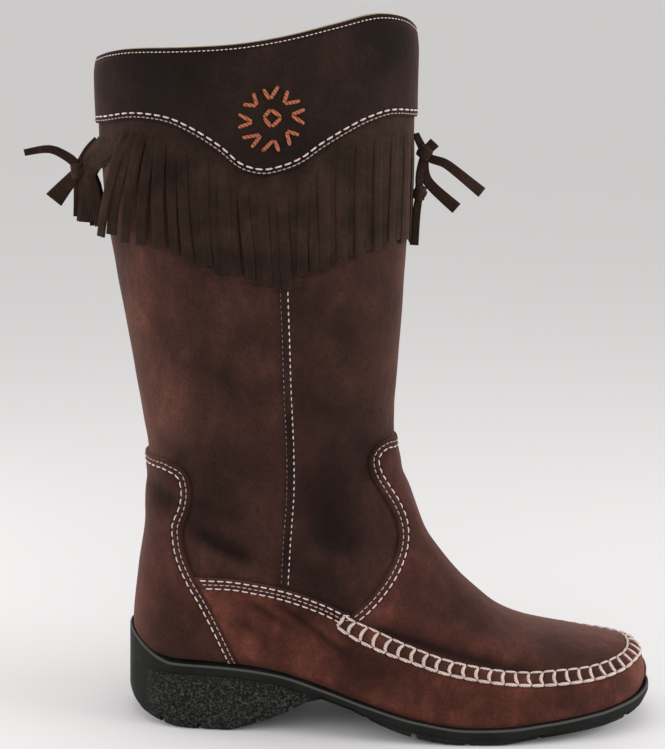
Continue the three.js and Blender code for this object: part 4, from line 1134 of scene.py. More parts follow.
SOLE_STEPS = 150
groove_half = TREAD_WIDTH / 2 / FOOT_LENGTH
stations = [0.5 - 0.5 * math.cos(math.pi * (0.008 + 0.984 * i / SOLE_STEPS)) for i in range(SOLE_STEPS + 1)]
stations += [groove + groove_half * reach for groove in GROOVES for reach in (-1.3, -1, 1, 1.3)]
stations = sorted(stations)
sole_rings = []
for along in stations:
    turn = float(turn_of(along))
    feather = float(feather_at(along))
    ground = min(feather * float(ground_share(along)), feather - 0.3 - ARCH_THICKNESS)
    wall_bottom = ground
    for groove in GROOVES:
        if abs(along - groove) <= groove_half + 1e-9:
            ground += min(TREAD_DEPTH, (feather - ground) / 3)
    top = feather + LIP_HEIGHT + max(1 - along / 0.085, 0) ** 1.4 * HEEL_CUP
    band_bottom = max(feather + LIP_HEIGHT - RIM_BAND, wall_bottom + EDGE_BEVEL + 0.8)
    tall = min(max((band_bottom - wall_bottom - 3) / 3, 0), 1)
    step = RIM_STEP * (0.4 + 0.6 * tall) * min(along / FLUSH_BACK, 1)
    rough_here = tall * min(max((along - 0.035) / 0.015, 0), 1)
    ends = math.sqrt(max(math.sin(math.pi * turn), 0.05))
    ring = []
    for side, half_of in ((-1, outer_half), (1, inner_half)):
        rim = float(half_of(turn)) + SOLE_PROUD * ends
        x_inside = float(foot_x(along)) + 0.8 * (2 * along - 1)
        heights = (feather + 1.0, 0.5 * (feather + top), top - 0.4)
        inside = [min(skin_half(x_inside, z, side), rim - 1.7) for z in heights]
        inside = [max(y, min(0.3, 0.2 * rim)) for y in inside]
        foot = rim - min(step, rim / 3)
        tread = max(foot - EDGE_BEVEL * 1.5, rim / 3)
        body = band_bottom - 1.0
        groove = 0.5 * tall * min(along / FLUSH_BACK, 1)
        # From under the insole up inside the lip, over it and down the wall to the tread: distance from the
        # middle line, height, and how rough the rubber is
        profile = [
            (inside[0] * 0.5, feather - 1.0, 0),
            (inside[0], feather - 0.8, 0),
            (inside[1], heights[1], 0),
            (inside[2], top - 0.4, 0),
            (min(inside[2] + 0.5, rim - 1.2), top - 0.05, 0),
            (rim - 1.0, top, 0),
            (rim - 0.45, top - 0.2, 0),
            (rim - 0.1, top - 0.65, 0),
            (rim, top - 1.3, 0),
            (rim, 0.5 * (top - 1.3 + band_bottom + 0.6), 0),
            (rim, band_bottom + 0.6, 0),
            (rim - 0.3 * groove, band_bottom + 0.15, 0),
            (foot - groove, band_bottom - 0.3, 0),
            (foot - 0.6 * groove, body, 0.6 * rough_here),
            (foot, body - 0.2 * (body - ground), rough_here),
            (foot + 0.4 * groove, body - 0.5 * (body - ground - EDGE_BEVEL), rough_here),
            (foot, ground + EDGE_BEVEL + 0.3, rough_here),
            (foot - 0.35, ground + EDGE_BEVEL * 0.55, rough_here * 0.7),
            (foot - 1.0, ground + EDGE_BEVEL * 0.2, 0),
            (tread, ground, 0),
            (tread * 0.5, ground, 0),
        ]
        if side > 0:
            profile = profile[::-1]
        for y, z, rough in profile:
            proud = max(SOLE_PROUD - (rim - y), 0.8)
            x = float(foot_x(along)) + proud * (2 * along - 1)
            # A painted highlight: the rim's top outer corner is marked to be painted a lighter grey
            painted_rim_highlight = 1.0 if y > rim - 0.6 and z > top - 0.8 else 0.0
            ring.append((x, float(middle_line(turn)) + side * y, z, rough, painted_rim_highlight))
    sole_rings.append(ring)
ring_size = len(ring)
sole_faces = []
for start in range(0, (len(stations) - 1) * ring_size, ring_size):
    for j in range(ring_size):
        a = start + j
        b = start + (j + 1) % ring_size
        sole_faces.append((a, b, b + ring_size, a + ring_size))
for start, order in ((0, -1), ((len(stations) - 1) * ring_size, 1)):
    for j in range(ring_size // 2 - 1):
        face = (start + j, start + j + 1, start + ring_size - 2 - j, start + ring_size - 1 - j)
        sole_faces.append(face[::order])

DEEP_BLACK = (0.0058, 0.0060, 0.0054, 1)
DUSTY_BLACK = (0.0098, 0.0100, 0.0090, 1)
ROUGH_GREY = (0.060, 0.062, 0.058, 1)
RIM_HIGHLIGHT_GREY = (0.13, 0.13, 0.12, 1)
sole_rubber, tree, shader, where = new_finish("sole_rubber")
rough_mask = share_on(tree, "rough")
crumb = cloud(tree, where, 800.0, Roughness=0.7)
grit = put(tree, "ShaderNodeTexVoronoi", {"feature": "F1"}, Vector=where, Scale=700.0).outputs[0]
dust = cloud(tree, where, 60.0)
speckle = calc(tree, "MULTIPLY", between(tree, crumb, 0.44, 0.68), rough_mask)
colour = blend_colour(tree, between(tree, dust, 0.35, 0.7), DEEP_BLACK, DUSTY_BLACK)
colour = blend_colour(tree, speckle, colour, ROUGH_GREY)
# Painted highlight along the rim's top outer corner, mixed towards a lighter grey
colour = blend_colour(tree, calc(tree, "MULTIPLY", share_on(tree, "painted_rim_highlight"), 0.4), colour, RIM_HIGHLIGHT_GREY)
matt = calc(tree, "ADD", between(tree, dust, 0.3, 0.7, 0.52, 0.64), calc(tree, "MULTIPLY", rough_mask, 0.28))
relief = calc(tree, "MULTIPLY", calc(tree, "ADD", crumb, calc(tree, "MULTIPLY", grit, 0.5)), rough_mask)
relief = calc(tree, "ADD", calc(tree, "MULTIPLY", relief, 0.0011), calc(tree, "MULTIPLY", dust, 0.0002))
finish_with(tree, shader, colour, matt, relief, 1.0, 1.0)
shader.inputs["Specular IOR Level"].default_value = 0.1
sole_net = np.array(sole_rings).reshape(-1, 5)
sole = make_piece(
    "sole_unit", sole_net[:, :3], sole_faces, sole_rubber, {"rough": sole_net[:, 3], "painted_rim_highlight": sole_net[:, 4]}
)
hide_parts("sole")

# Puckered band: the edges of wall and vamp gathered together round the toe into a soft ridge, rolled over and
# drawn in between the rungs of the cord that holds it.
BAND_ROLL = 2.3  # height of the ridge over the last
PUCKER = 0.55  # how much it rises between two rungs and sinks at each
RUNG_PITCH = 6.6
BAND_STEPS = 300


def trace(field, level, where_kept):
    """Lines on the last's net where a field has a level: rows and columns in order, the longest first."""
    value = field - level
    joined = {}
    spot_at = {}
    above = value > 0
    changes = above[:-1] != above[1:]
    side_change = above != np.roll(above, -1, axis=1)
    busy = changes | np.roll(changes, -1, axis=1) | side_change[:-1] | side_change[1:]
    for r, c in zip(*np.nonzero(busy & where_kept[:-1])):
        d = (c + 1) % COLUMNS
        crossings = []
        for key, (ra, ca), (rb, cb) in (
            (("along", r, c), (r, c), (r, d)),
            (("down", r, c), (r, c), (r + 1, c)),
            (("along", r + 1, c), (r + 1, c), (r + 1, d)),
            (("down", r, d), (r, d), (r + 1, d)),
        ):
            va, vb = value[ra, ca], value[rb, cb]
            if (va > 0) == (vb > 0):
                continue
            f = va / (va - vb)
            column = ca + f if key[0] == "along" else float(ca)
            row = float(ra) if key[0] == "along" else ra + f
            spot_at[key] = (row, column)
            crossings.append(key)
        for a, b in zip(crossings[::2], crossings[1::2]):
            joined.setdefault(a, []).append(b)
            joined.setdefault(b, []).append(a)
    lines = []
    left = dict.fromkeys(joined)
    while left:
        start = next((k for k in left if len(joined[k]) == 1), None) or next(iter(left))
        line = [start]
        left.pop(start)
        while True:
            onward = next((k for k in joined[line[-1]] if k in left), None)
            if onward is None:
                break
            line.append(onward)
            left.pop(onward)
        if start in joined[line[-1]] and len(line) > 2:
            line.append(start)
        path = np.array([spot_at[k] for k in line])
        jumps = np.diff(path[:, 1])
        path[1:, 1] -= COLUMNS * np.cumsum(np.round(jumps / COLUMNS))
        if len(path) > 3:
            lines.append(path)
    return sorted(lines, key=len, reverse=True)


def paced(path, count, height=0.0):
    """Points of a traced line at even distances, as rows and columns, with its length."""
    run = run_along(leather(path[:, 0], path[:, 1], height))
    wanted = np.linspace(0, run[-1], count) if np.isscalar(count) else np.asarray(count) * run[-1]
    return np.stack([np.interp(wanted, run, path[:, i]) for i in (0, 1)], axis=-1), run[-1]


def sweep(centres, outs, side_sizes, out_sizes, outline):
    """Tubes and ribbons: an outline carried along rows of centres, with its way out and sizes at each."""
    along = np.gradient(centres, axis=1)
    across = np.cross(along, outs)
    across /= np.maximum(np.linalg.norm(across, axis=-1, keepdims=True), 1e-9)
    outs = np.cross(across, along)
    outs /= np.maximum(np.linalg.norm(outs, axis=-1, keepdims=True), 1e-9)
    outline = np.asarray(outline, float)
    side_sizes = np.broadcast_to(side_sizes, centres.shape[:2])[..., None, None]
    out_sizes = np.broadcast_to(out_sizes, centres.shape[:2])[..., None, None]
    rings = (
        centres[:, :, None, :]
        + across[:, :, None, :] * side_sizes * outline[None, None, :, :1]
        + outs[:, :, None, :] * out_sizes * outline[None, None, :, 1:]
    )
    lots, stops, spokes = rings.shape[:3]
    faces = []
    for first in range(0, lots * stops * spokes, stops * spokes):
        final = first + (stops - 1) * spokes
        for ring in range(first, final, spokes):
            for j in range(spokes):
                a = ring + j
                b = ring + (j + 1) % spokes
                faces.append((b, a, a + spokes, b + spokes))
        faces.append(tuple(range(first, first + spokes)))
        faces.append(tuple(range(final, final + spokes))[::-1])
    return rings.reshape(-1, 3), faces


def round_outline(spokes):
    return [(math.cos(2 * math.pi * j / spokes), math.sin(2 * math.pi * j / spokes)) for j in range(spokes)]


band_levels = [0.0, 0.06, 0.14, 0.26, 0.4, 0.5, 0.6, 0.74, 0.86, 0.94, 1.0]
band_net = []


def band_path(level, reach):
    """One level of the band as an even row of net points, from its outer to its inner end."""
    path = trace(over_moc(2 * level - 1), 0.0, x_of > reach)[0]
    if on_net(skin, path[0, 0], path[0, 1])[1] > 0:
        path = path[::-1]
    even, total = paced(path, 5 * BAND_STEPS)
    even[:, 1] -= COLUMNS * round((even[len(even) // 2, 1] - SIDE_COLUMNS) / COLUMNS)
    return even, total


middle_path, band_length = band_path(0.5, band_start)
middle_path = middle_path[np.linspace(0, 5 * BAND_STEPS - 1, BAND_STEPS).astype(int)]
middle_points = on_net(skin, middle_path[:, 0], middle_path[:, 1])
for level in band_levels:
    path, _ = band_path(level, band_start - 12)
    points = on_net(skin, path[:, 0], path[:, 1])
    gaps = ((middle_points[:, None, :] - points[None, :, :]) ** 2).sum(axis=-1)
    nearest = np.maximum.accumulate(gaps.argmin(axis=1).astype(float))
    padded = np.concatenate([nearest[:1]] * 6 + [nearest] + [nearest[-1:]] * 6)
    nearest[6:-6] = np.convolve(padded, np.ones(13) / 13, "valid")[6:-6]
    spots = np.arange(len(path))
    band_net.append(np.stack([np.interp(nearest, spots, path[:, i]) for i in (0, 1)], axis=-1))
band_net = np.array(band_net)
rung_count = int(round(band_length / RUNG_PITCH))


def on_band(level, share, height):
    """A point of the band: level from its lower to its upper edge, share from its outer to its inner end."""
    level, share, height = np.broadcast_arrays(level, share, height)
    at = np.clip(share, 0, 1) * (BAND_STEPS - 1)
    i = np.clip(np.floor(at), 0, BAND_STEPS - 2).astype(int)
    f = (at - i)[..., None]
    level_row = np.interp(level, band_levels, np.arange(len(band_levels)))
    k = np.clip(np.floor(level_row), 0, len(band_levels) - 2).astype(int)
    g = (level_row - k)[..., None]
    low = band_net[k, i] * (1 - f) + band_net[k, i + 1] * f
    high = band_net[k + 1, i] * (1 - f) + band_net[k + 1, i + 1] * f
    net_at = low * (1 - g) + high * g
    return leather(net_at[..., 0], net_at[..., 1], height)


def band_height(level, share):
    dome = 1 - np.abs(2 * level - 1) ** 3
    between_rungs = np.sin(np.pi * share * rung_count) ** 2
    return VAMP_HEIGHT - 0.5 + dome * (BAND_ROLL - VAMP_HEIGHT + 0.5 + PUCKER * (1.6 * between_rungs - 0.8))


band_rows = np.array([-0.001] + band_levels + [1.001])
level_net, share_net = np.meshgrid(band_rows, np.linspace(0, 1, BAND_STEPS), indexing="ij")
height_net = band_height(np.clip(level_net, 0, 1), share_net)
height_net[0] = -0.3
height_net[-1] = -0.3
band_points = on_band(np.clip(level_net, 0, 1), share_net, height_net).reshape(-1, 3)
band_faces = []
top_row = (len(band_rows) - 1) * BAND_STEPS
for start in range(0, top_row, BAND_STEPS):
    for a in range(start, start + BAND_STEPS - 1):
        band_faces.append((a, a + 1, a + BAND_STEPS + 1, a + BAND_STEPS))
for start, order in ((0, -1), (BAND_STEPS - 1, 1)):
    band_faces.append(tuple(range(start, top_row + BAND_STEPS, BAND_STEPS))[::order])
band_faces.append((*reversed(range(BAND_STEPS)), *range(top_row, top_row + BAND_STEPS)))
band_suede = suede(
    "band_suede", (0.018, 0.0080, 0.0058, 1), (0.058, 0.0180, 0.0130, 1), (0.120, 0.0400, 0.0285, 1),
    brushing=0.6,
)
band = make_piece("puckered_band", band_points, band_faces, band_suede)
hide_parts("moccasin_seam")

# Whipped cord: thick waxed cream cord laced over the puckered band, a rung to each stitch, with a heavy run
# along the wall side and a finer one along the vamp side.
CORD_RADIUS = 0.70
CORD_STOPS = 9
RUNG_BOW = 1.5


def thread_finish(name, pale, shade_and_soil, scale=420.0):
    """Twisted sewing thread: pale fibres with painted shade between the turns of the twist, darker soiled
    patches and a slightly waxed face.
    """
    made, tree, shader, where = new_finish(name)
    turns = {"Vector": where, "Scale": scale, "Distortion": 2.0, "Detail": 2.0}
    lay = put(tree, "ShaderNodeTexWave", {"bands_direction": "DIAGONAL"}, **turns).outputs["Fac"]
    soil = cloud(tree, where, 140.0)
    # Painted shade in the grooves between the turns of the twist
    colour = blend_colour(tree, between(tree, lay, 0.2, 0.9), shade_and_soil, pale)
    colour = blend_colour(tree, between(tree, soil, 0.45, 0.75, 0.0, 0.45), colour, shade_and_soil)
    finish_with(tree, shader, colour, between(tree, soil, 0.3, 0.7, 0.55, 0.75), lay, 0.6, 0.0002)
    return made


cord_finish = thread_finish("cream_cord", (0.73, 0.62, 0.56, 1), (0.30, 0.20, 0.17, 1))
chance = random.Random(7)
rungs = []
t = np.linspace(0, 1, CORD_STOPS)
for k in range(rung_count + 1):
    share = k / rung_count
    lean = 0.5 * math.sin(k * 1.7) + chance.uniform(-0.5, 0.5)
    heelwards = -1 if share < 0.5 else 1
    sway = (heelwards * RUNG_BOW * np.sin(np.pi * t) + lean * (t - 0.5)) / band_length
    level = t + np.array([-0.02] + [0.0] * (CORD_STOPS - 2) + [0.02])
    ease = np.clip(np.minimum(t, 1 - t) / 0.12, 0, 1)
    height = band_height(level, share) + CORD_RADIUS * (0.75 * ease - 0.9 * (1 - ease))
    rungs.append((level, share + sway, height, CORD_RADIUS * (0.82 + 0.5 * np.sin(np.pi * t))))
for k in range(rung_count):
    for level_at, radius in ((-0.02, CORD_RADIUS * 1.1), (1.02, CORD_RADIUS * 0.8)):
        share = (k + 0.02 + 0.96 * t) / rung_count
        ease = np.clip(np.minimum(t, 1 - t) / 0.15, 0, 1)
        height = VAMP_HEIGHT + radius * (0.5 * ease - 1.3 * (1 - ease)) + 0.25 * np.sin(np.pi * t)
        out_line = 0.07 * np.sin(np.pi * t) * (-0.4 if level_at < 0.5 else 1.4)
        rungs.append((level_at + out_line, share, height, radius * (0.75 + 0.35 * np.sin(np.pi * t))))
centres = np.array([on_band(level, share, height) for level, share, height, _ in rungs])
outside = np.array([on_band(level, share, height + 1.0) for level, share, height, _ in rungs])
radii = np.array([radius for _, _, _, radius in rungs])
cord_points, cord_faces = sweep(centres, outside - centres, radii, radii * 0.9, round_outline(8))
make_piece("whipped_cord", cord_points, cord_faces, cord_finish)

# Sewn rows: twisted cream thread in locked stitches, two rows on the edges of the counter, the vamp and the
# cuff with the bolder one further in, three on the flat seam, two on each upright seam and one at the collar.
STITCH_PITCH = 4.3
STITCH_SHARE = 0.76
STITCH_STOPS = 6
THREAD_RADIUS = 0.37
SHORTEST_ROW = 14


def sewn_row(field, level, kept, height, pitch=STITCH_PITCH, radius=THREAD_RADIUS):
    """Stitches of one row as sweeps: centres, out directions and radii."""
    centres = []
    outs = []
    for path in trace(field, level, kept):
        total = paced(path, 2, height)[1]
        if total < SHORTEST_ROW:
            continue
        count = int(total / pitch)
        t = np.linspace(-0.5, 0.5, STITCH_STOPS)
        shares = (np.arange(count)[:, None] + 0.5 + STITCH_SHARE * t[None, :]) / count
        at = paced(path, shares.reshape(-1), height)[0]
        arch = np.tile(radius * (0.75 - 5.2 * t**2), count)
        centre = leather(at[:, 0], at[:, 1], height + arch)
        centres.append(centre.reshape(count, STITCH_STOPS, 3))
        outs.append(on_net(normal, at[:, 0], at[:, 1]).reshape(count, STITCH_STOPS, 3))
    centres = np.concatenate(centres)
    return centres, np.concatenate(outs), np.full(centres.shape[:2], radius)


def sewn_piece(name, rows, finish):
    """Stitches, thin at both ends where they dive into the leather, as one piece."""
    centres, outs, radii = (np.concatenate(part) for part in zip(*rows))
    radii = radii * np.array([0.6, 1.0, 1.05, 1.05, 1.0, 0.6])
    points, faces = sweep(centres, outs, radii, radii * 0.8, round_outline(6))
    return make_piece(name, points, faces, finish)


everywhere = np.ones((ROWS, COLUMNS), bool)
bold_thread = thread_finish("cream_thread", (0.82, 0.69, 0.66, 1), (0.42, 0.29, 0.28, 1), 900.0)
fine_thread = thread_finish("cream_thread_fine", (0.52, 0.40, 0.36, 1), (0.26, 0.17, 0.15, 1), 900.0)
FINE = 0.3
open_side = (over(feather_line) > 3) & (z_of > 34)
behind_band = (x_of < band_start + 4) & (in_counter < -0.6)
tape_side = (over(wall_top) > 0.8) & (z_of < side_seam[-1][1] + 4) & (x_of > 0)
vamp_side = over_band > 0.6
sewn_piece("sewn_rows_bold", [
    sewn_row(in_counter, 4.1, open_side, COUNTER_HEIGHT),
    sewn_row(in_vamp, 4.1, vamp_side, VAMP_HEIGHT),
    sewn_row(over(wall_top), -0.9, behind_band, TAPE_HEIGHT),
    sewn_row(over(wall_top), -4.9, behind_band, TAPE_HEIGHT),
    sewn_row(from_seam, -1.6, tape_side, 0.0, pitch=3.2),
    sewn_row(over_cuff, 3.1, everywhere, CUFF_STAND, radius=0.42, pitch=4.6),
    sewn_row(below_collar, 1.8, everywhere, SKIVED_COLLAR + 0.4, radius=0.23, pitch=2.1),
], bold_thread)
sewn_piece("sewn_rows_fine", [
    sewn_row(in_counter, 1.6, open_side, COUNTER_HEIGHT, radius=FINE, pitch=3.1),
    sewn_row(in_vamp, 1.6, vamp_side, VAMP_HEIGHT, radius=FINE, pitch=3.1),
    sewn_row(over(wall_top), -2.9, behind_band, TAPE_HEIGHT, radius=FINE, pitch=2.8),
    sewn_row(from_seam, 1.5, tape_side, 0.0, radius=FINE, pitch=2.8),
    sewn_row(over_cuff, 1.3, everywhere, CUFF_STAND, radius=FINE * 0.9, pitch=2.4),
], fine_thread)

# Sun ornament: a plain hand-sewn star of eight open Vs round a diamond, in soft orange thong stitched through
# the outer side of the cuff.
ORNAMENT_X = 28
ORNAMENT_Z = 307
ORNAMENT_STROKES = [  # ends of each stitch from the ornament's middle
    ((-1.2, 8.4), (-4.5, 13.4)), ((-1.2, 8.4), (2.7, 15.1)),
    ((5.1, 6.6), (6.9, 13.1)), ((5.1, 6.6), (13.1, 8.2)),
    ((8.4, 1.5), (15.2, 4.5)), ((8.4, 1.5), (15.1, -2.8)),
    ((6.4, -5.8), (12.7, -7.8)), ((6.4, -5.8), (8.4, -13.1)),
    ((1.0, -9.9), (-4.9, -16.0)), ((1.0, -9.9), (3.4, -15.8)),
    ((-4.9, -7.8), (-14.5, -9.6)), ((-4.9, -7.8), (-9.6, -14.3)),
    ((-8.8, -2.1), (-16.1, 1.6)), ((-8.8, -2.1), (-16.1, -4.9)),
    ((-7.0, 5.4), (-9.0, 11.6)), ((-7.0, 5.4), (-13.9, 6.0)),
    ((-0.9, 4.0), (4.2, 0.4)), ((4.2, 0.4), (-0.3, -4.3)),
    ((-0.3, -4.3), (-4.0, 0.1)), ((-4.0, 0.1), (-0.9, 4.0)),
]
THONG_STITCH = 0.9  # half the width of a stitch
SHAFT_ROW = int(np.argmax(z_of.min(axis=1) > HEEL_SEAT + INSTEP_HEIGHT * 0.6))


def shaft_row(column, z):
    """Row of the net at which a column of the shaft reaches a height."""
    rows = np.arange(SHAFT_ROW, ROWS - 1)
    heights = on_net(skin, rows, np.full(len(rows), float(column)))[:, 2]
    return float(np.interp(z, heights, rows))


def side_spot(x, z):
    """Row and column of a point on the shaft's outer side."""
    column = SIDE_COLUMNS / 2
    columns = np.arange(2, SIDE_COLUMNS - 2)
    for _ in range(5):
        row = shaft_row(column, z)
        across = on_net(skin, np.full(len(columns), row), columns)[:, 0]
        column = float(np.interp(x, across, columns))
    return row, column


thong_orange = thread_finish("orange_thong", (0.43, 0.115, 0.04, 1), (0.15, 0.032, 0.011, 1), 300.0)
stroke_centres = []
stroke_outs = []
t = np.linspace(0, 1, 7)
for (ax, az), (bx, bz) in ORNAMENT_STROKES:
    stops = [(ORNAMENT_X + ax + (bx - ax) * s, ORNAMENT_Z + az + (bz - az) * s) for s in t]
    spots_at = np.array([side_spot(x, z) for x, z in stops])
    height = CUFF_STAND + 0.35 - 2.2 * np.abs(2 * t - 1) ** 6
    stroke_centres.append(leather(spots_at[:, 0], spots_at[:, 1], height))
    stroke_outs.append(on_net(normal, spots_at[:, 0], spots_at[:, 1]))
stroke_width = THONG_STITCH * np.array([0.8, 0.95, 1.0, 1.05, 1.0, 0.95, 0.8])
points, faces = sweep(
    np.array(stroke_centres), np.array(stroke_outs), stroke_width[None, :], 0.75 * stroke_width[None, :],
    round_outline(8),
)
make_piece("sun_ornament", points, faces, thong_orange)

# Fringe: one strip of thin dark suede under the cuff's edge, cut into narrow strips that hang loose over the
# shaft. Those at the back are pulled together and swept out by the tied thong.
FRINGE_LENGTH = 58
FRINGE_MARGIN = 8
STRIP_PITCH = 4.7  # less than the width, as neighbours lap over each other
STRIP_WIDTH = 5.7
STRIP_THICKNESS = 0.9
HEM = [
    (-0.53, 0.98),
    (-0.42, 1.0),
    (-0.3, 1.09),
    (-0.21, 1.18),
    (-0.116, 1.28),
    (-0.026, 1.35),
    (0.07, 1.38),
    (0.155, 1.33),
    (0.245, 1.22),
    (0.342, 1.13),
    (0.46, 1.04),
    (0.53, 1.1),
]
hem_line = spline([
    (SHAFT_AXIS + a * SHAFT_DEPTH, BOOT_HEIGHT - CUFF_HEIGHT - drop * FRINGE_LENGTH) for a, drop in HEM
])
fringe_suede = suede(
    "fringe_suede", (0.0085, 0.0055, 0.0036, 1), (0.022, 0.0112, 0.0072, 1), (0.050, 0.0220, 0.0150, 1),
    sheen=0.18, blotch_scale=45.0, brushing=0.5,
)
margin = panel_piece(
    "fringe_margin", fringe_suede, [over_cuff + FRINGE_MARGIN, 3 - over_cuff], 1.0, sunk=-0.3,
)
header_z = BOOT_HEIGHT - CUFF_HEIGHT - CUFF_BOW / 2
header_rows = np.array([shaft_row(c, header_z) for c in range(COLUMNS)])
header_ring = on_net(skin, header_rows, np.arange(COLUMNS))
header_run = run_along(np.concatenate([header_ring, header_ring[:1]]))
strip_count = int(round(header_run[-1] / STRIP_PITCH))
strip_columns = np.interp(
    (np.arange(strip_count) + 0.5) * header_run[-1] / strip_count, header_run, np.arange(COLUMNS + 1)
)
chance = random.Random(21)
STRIP_STOPS = 12
flat_outline = [
    (-1, -0.5), (-0.99, 0.3), (-0.93, 0.48), (-0.5, 0.5), (0, 0.5), (0.5, 0.5), (0.93, 0.48), (0.99, 0.3),
    (1, -0.5), (0.5, -0.5), (0, -0.5), (-0.5, -0.5),
]
SWEPT_BACK = ((-44, 16), (-38, 15.5), (-31, 13), (-24, 6), (-12, 0))  # how far tips are drawn back, by place
GATHERED_FROM = -41  # the strips behind this place run through the back knot
BACK_KNOT_OUT = 11.2
BACK_KNOT_DOWN = 23.5  # from the cuff's edge
back_x = on_net(skin, shaft_row(0, header_z), 0.0)[0] - 0.3
back_edge_z = float(np.interp(back_x, cuff_edge[:, 0], cuff_edge[:, 1]))
knot_x = back_x - BACK_KNOT_OUT
knot_z = back_edge_z - BACK_KNOT_DOWN
strip_centres = []
strip_outs = []
strip_widths = []
for number, column in enumerate(strip_columns):
    start = on_net(skin, shaft_row(column, header_z), column)
    facing = on_net(normal, shaft_row(column, header_z), column)
    edge_z = float(np.interp(start[0], cuff_edge[:, 0], cuff_edge[:, 1]))
    top_z = edge_z - FRINGE_MARGIN + 1.5
    hem_z = float(np.interp(start[0], hem_line[:, 0], hem_line[:, 1])) + chance.uniform(-2.2, 2.2)
    back = max(-facing[0], 0) ** 5
    near_back = float(np.clip((-12 - start[0]) / 34, 0, 1))
    swept = float(np.interp(start[0], [row[0] for row in SWEPT_BACK], [row[1] for row in SWEPT_BACK]))
    drift = chance.uniform(-0.9, 0.9)
    lapped = 0.6 * (number % 2)
    stand = chance.uniform(0.3, 1.0) + 3 * back + chance.uniform(0, 1.2) * near_back
    twist = chance.uniform(-0.16, 0.16)
    curl = chance.uniform(-0.4, 0.9)
    centres = []
    outs = []
    for s in np.linspace(0, 1, STRIP_STOPS):
        z = top_z + (hem_z - top_z) * s
        row = shaft_row(column, z)
        out = on_net(normal, row, column)
        out[2] = 0
        out /= np.linalg.norm(out)
        side = np.array([-out[1], out[0], 0])
        lift = 0.45 + lapped * min(4 * s, 1) + stand * s**1.25 + curl * max(s - 0.75, 0) ** 2 * 8
        point = leather(row, column, lift)
        if side[0] < 0:
            side = -side
        sideways = side * (drift * s**1.1 + 0.35 * math.sin(3 * s + column))
        point = point + sideways - np.array([swept * s**0.7, 0, 0])
        turn = twist * s**1.2
        centres.append(point)
        outs.append(out * math.cos(turn) + side * math.sin(turn))
    if start[0] < GATHERED_FROM:
        spread = chance.uniform(-1, 1)
        ahead = float(np.clip((start[0] - back_x) / (GATHERED_FROM - back_x), 0, 1))
        leaves_z = edge_z - 9 - 5 * ahead
        tip_x = knot_x + 2 + 12 * ahead + 2 * spread
        tip_z = knot_z - 21 - 6 * ahead + 3.5 * spread
        held = [
            centres[0],
            leather(shaft_row(column, leaves_z), column, 1.0 + lapped),
            np.array([knot_x + 4 + 4 * ahead, 0.2 * start[1], knot_z + 5 - 5 * ahead]),
            np.array([knot_x + 3 + 6 * ahead, 0.16 * start[1], knot_z - 6]),
            np.array([tip_x, 0.25 * start[1], tip_z]),
        ]
        way = spline(held, 6)
        run = run_along(way)
        even = np.linspace(0, run[-1], STRIP_STOPS)
        centres = [np.array([np.interp(d, run, way[:, i]) for i in range(3)]) for d in even]
        sideways = np.array([0.3 * spread, np.sign(start[1]), 0])
        shares = np.linspace(0, 1, STRIP_STOPS) ** 0.6
        outs = [out * (1 - share) + sideways * share for out, share in zip(outs, shares)]
    strip_centres.append(centres)
    strip_outs.append(outs)
    width = STRIP_WIDTH * chance.uniform(0.86, 1.06) / 2
    waver = [1 - 0.06 * s + 0.05 * math.sin(5 * s + column) for s in np.linspace(0, 1, STRIP_STOPS)]
    strip_widths.append([width * share for share in waver])
points, faces = sweep(
    np.array(strip_centres), np.array(strip_outs), np.array(strip_widths), STRIP_THICKNESS, flat_outline
)
strips = make_piece("fringe_strips", points, faces, fringe_suede)
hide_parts("fringe")

# Tied thongs: flat strips of the same dark suede that come out from under the fringe's margin at the front
# and the back, tied in overhand knots, with their loose ends standing out.
THONG_THICKNESS = 1.5
THONG_STOPS = 22
KNOT_RADIUS = 4.2
CORE_ROWS = 8
CORE_SPOKES = 12
ROOT = FRINGE_MARGIN + 0.3  # how far under the cuff's edge a thong comes out


def thong_ribbon(path, width, bow=0.0, lean=0.0):
    """One loose end: a ribbon through points in the boot's middle plane, as one sweep."""
    fine = spline(path, 5)
    run = run_along(fine)
    t = np.linspace(0, 1, THONG_STOPS)
    x = np.interp(t * run[-1], run, fine[:, 0])
    z = np.interp(t * run[-1], run, fine[:, 1])
    y = bow * np.sin(np.pi * t) + lean * t
    centres = np.stack([x, y, z], axis=-1)
    outs = np.stack([0.25 * np.sin(2.5 * t + lean), -np.ones(THONG_STOPS), np.zeros(THONG_STOPS)], axis=-1)
    widths = np.interp(t, [0, 0.15, 1], [width[0] * 0.9, width[0], width[1]]) / 2
    return centres, outs, widths


def knot_wraps(centre, size, tilt):
    """The turns of a knot: two crossing bands of thong round a core."""
    wraps = []
    t = np.linspace(0, 2 * math.pi, THONG_STOPS)
    for lean, swell, width in ((tilt, 1.0, 0.62), (tilt - 1.15, 0.9, 0.55)):
        along = np.array([math.sin(lean), 0, math.cos(lean)])
        aside = np.array([math.cos(lean), 0, -math.sin(lean)])
        radius = KNOT_RADIUS * swell
        out = np.cos(t)[:, None] * aside * size[0] + np.sin(t)[:, None] * np.array([0, 1, 0]) * size[1]
        centres = np.array(centre) + out * radius * 0.82 + along * (0.5 * np.sin(t))[:, None]
        wraps.append((centres, out, np.full(THONG_STOPS, KNOT_RADIUS * width * size[2])))
    return wraps


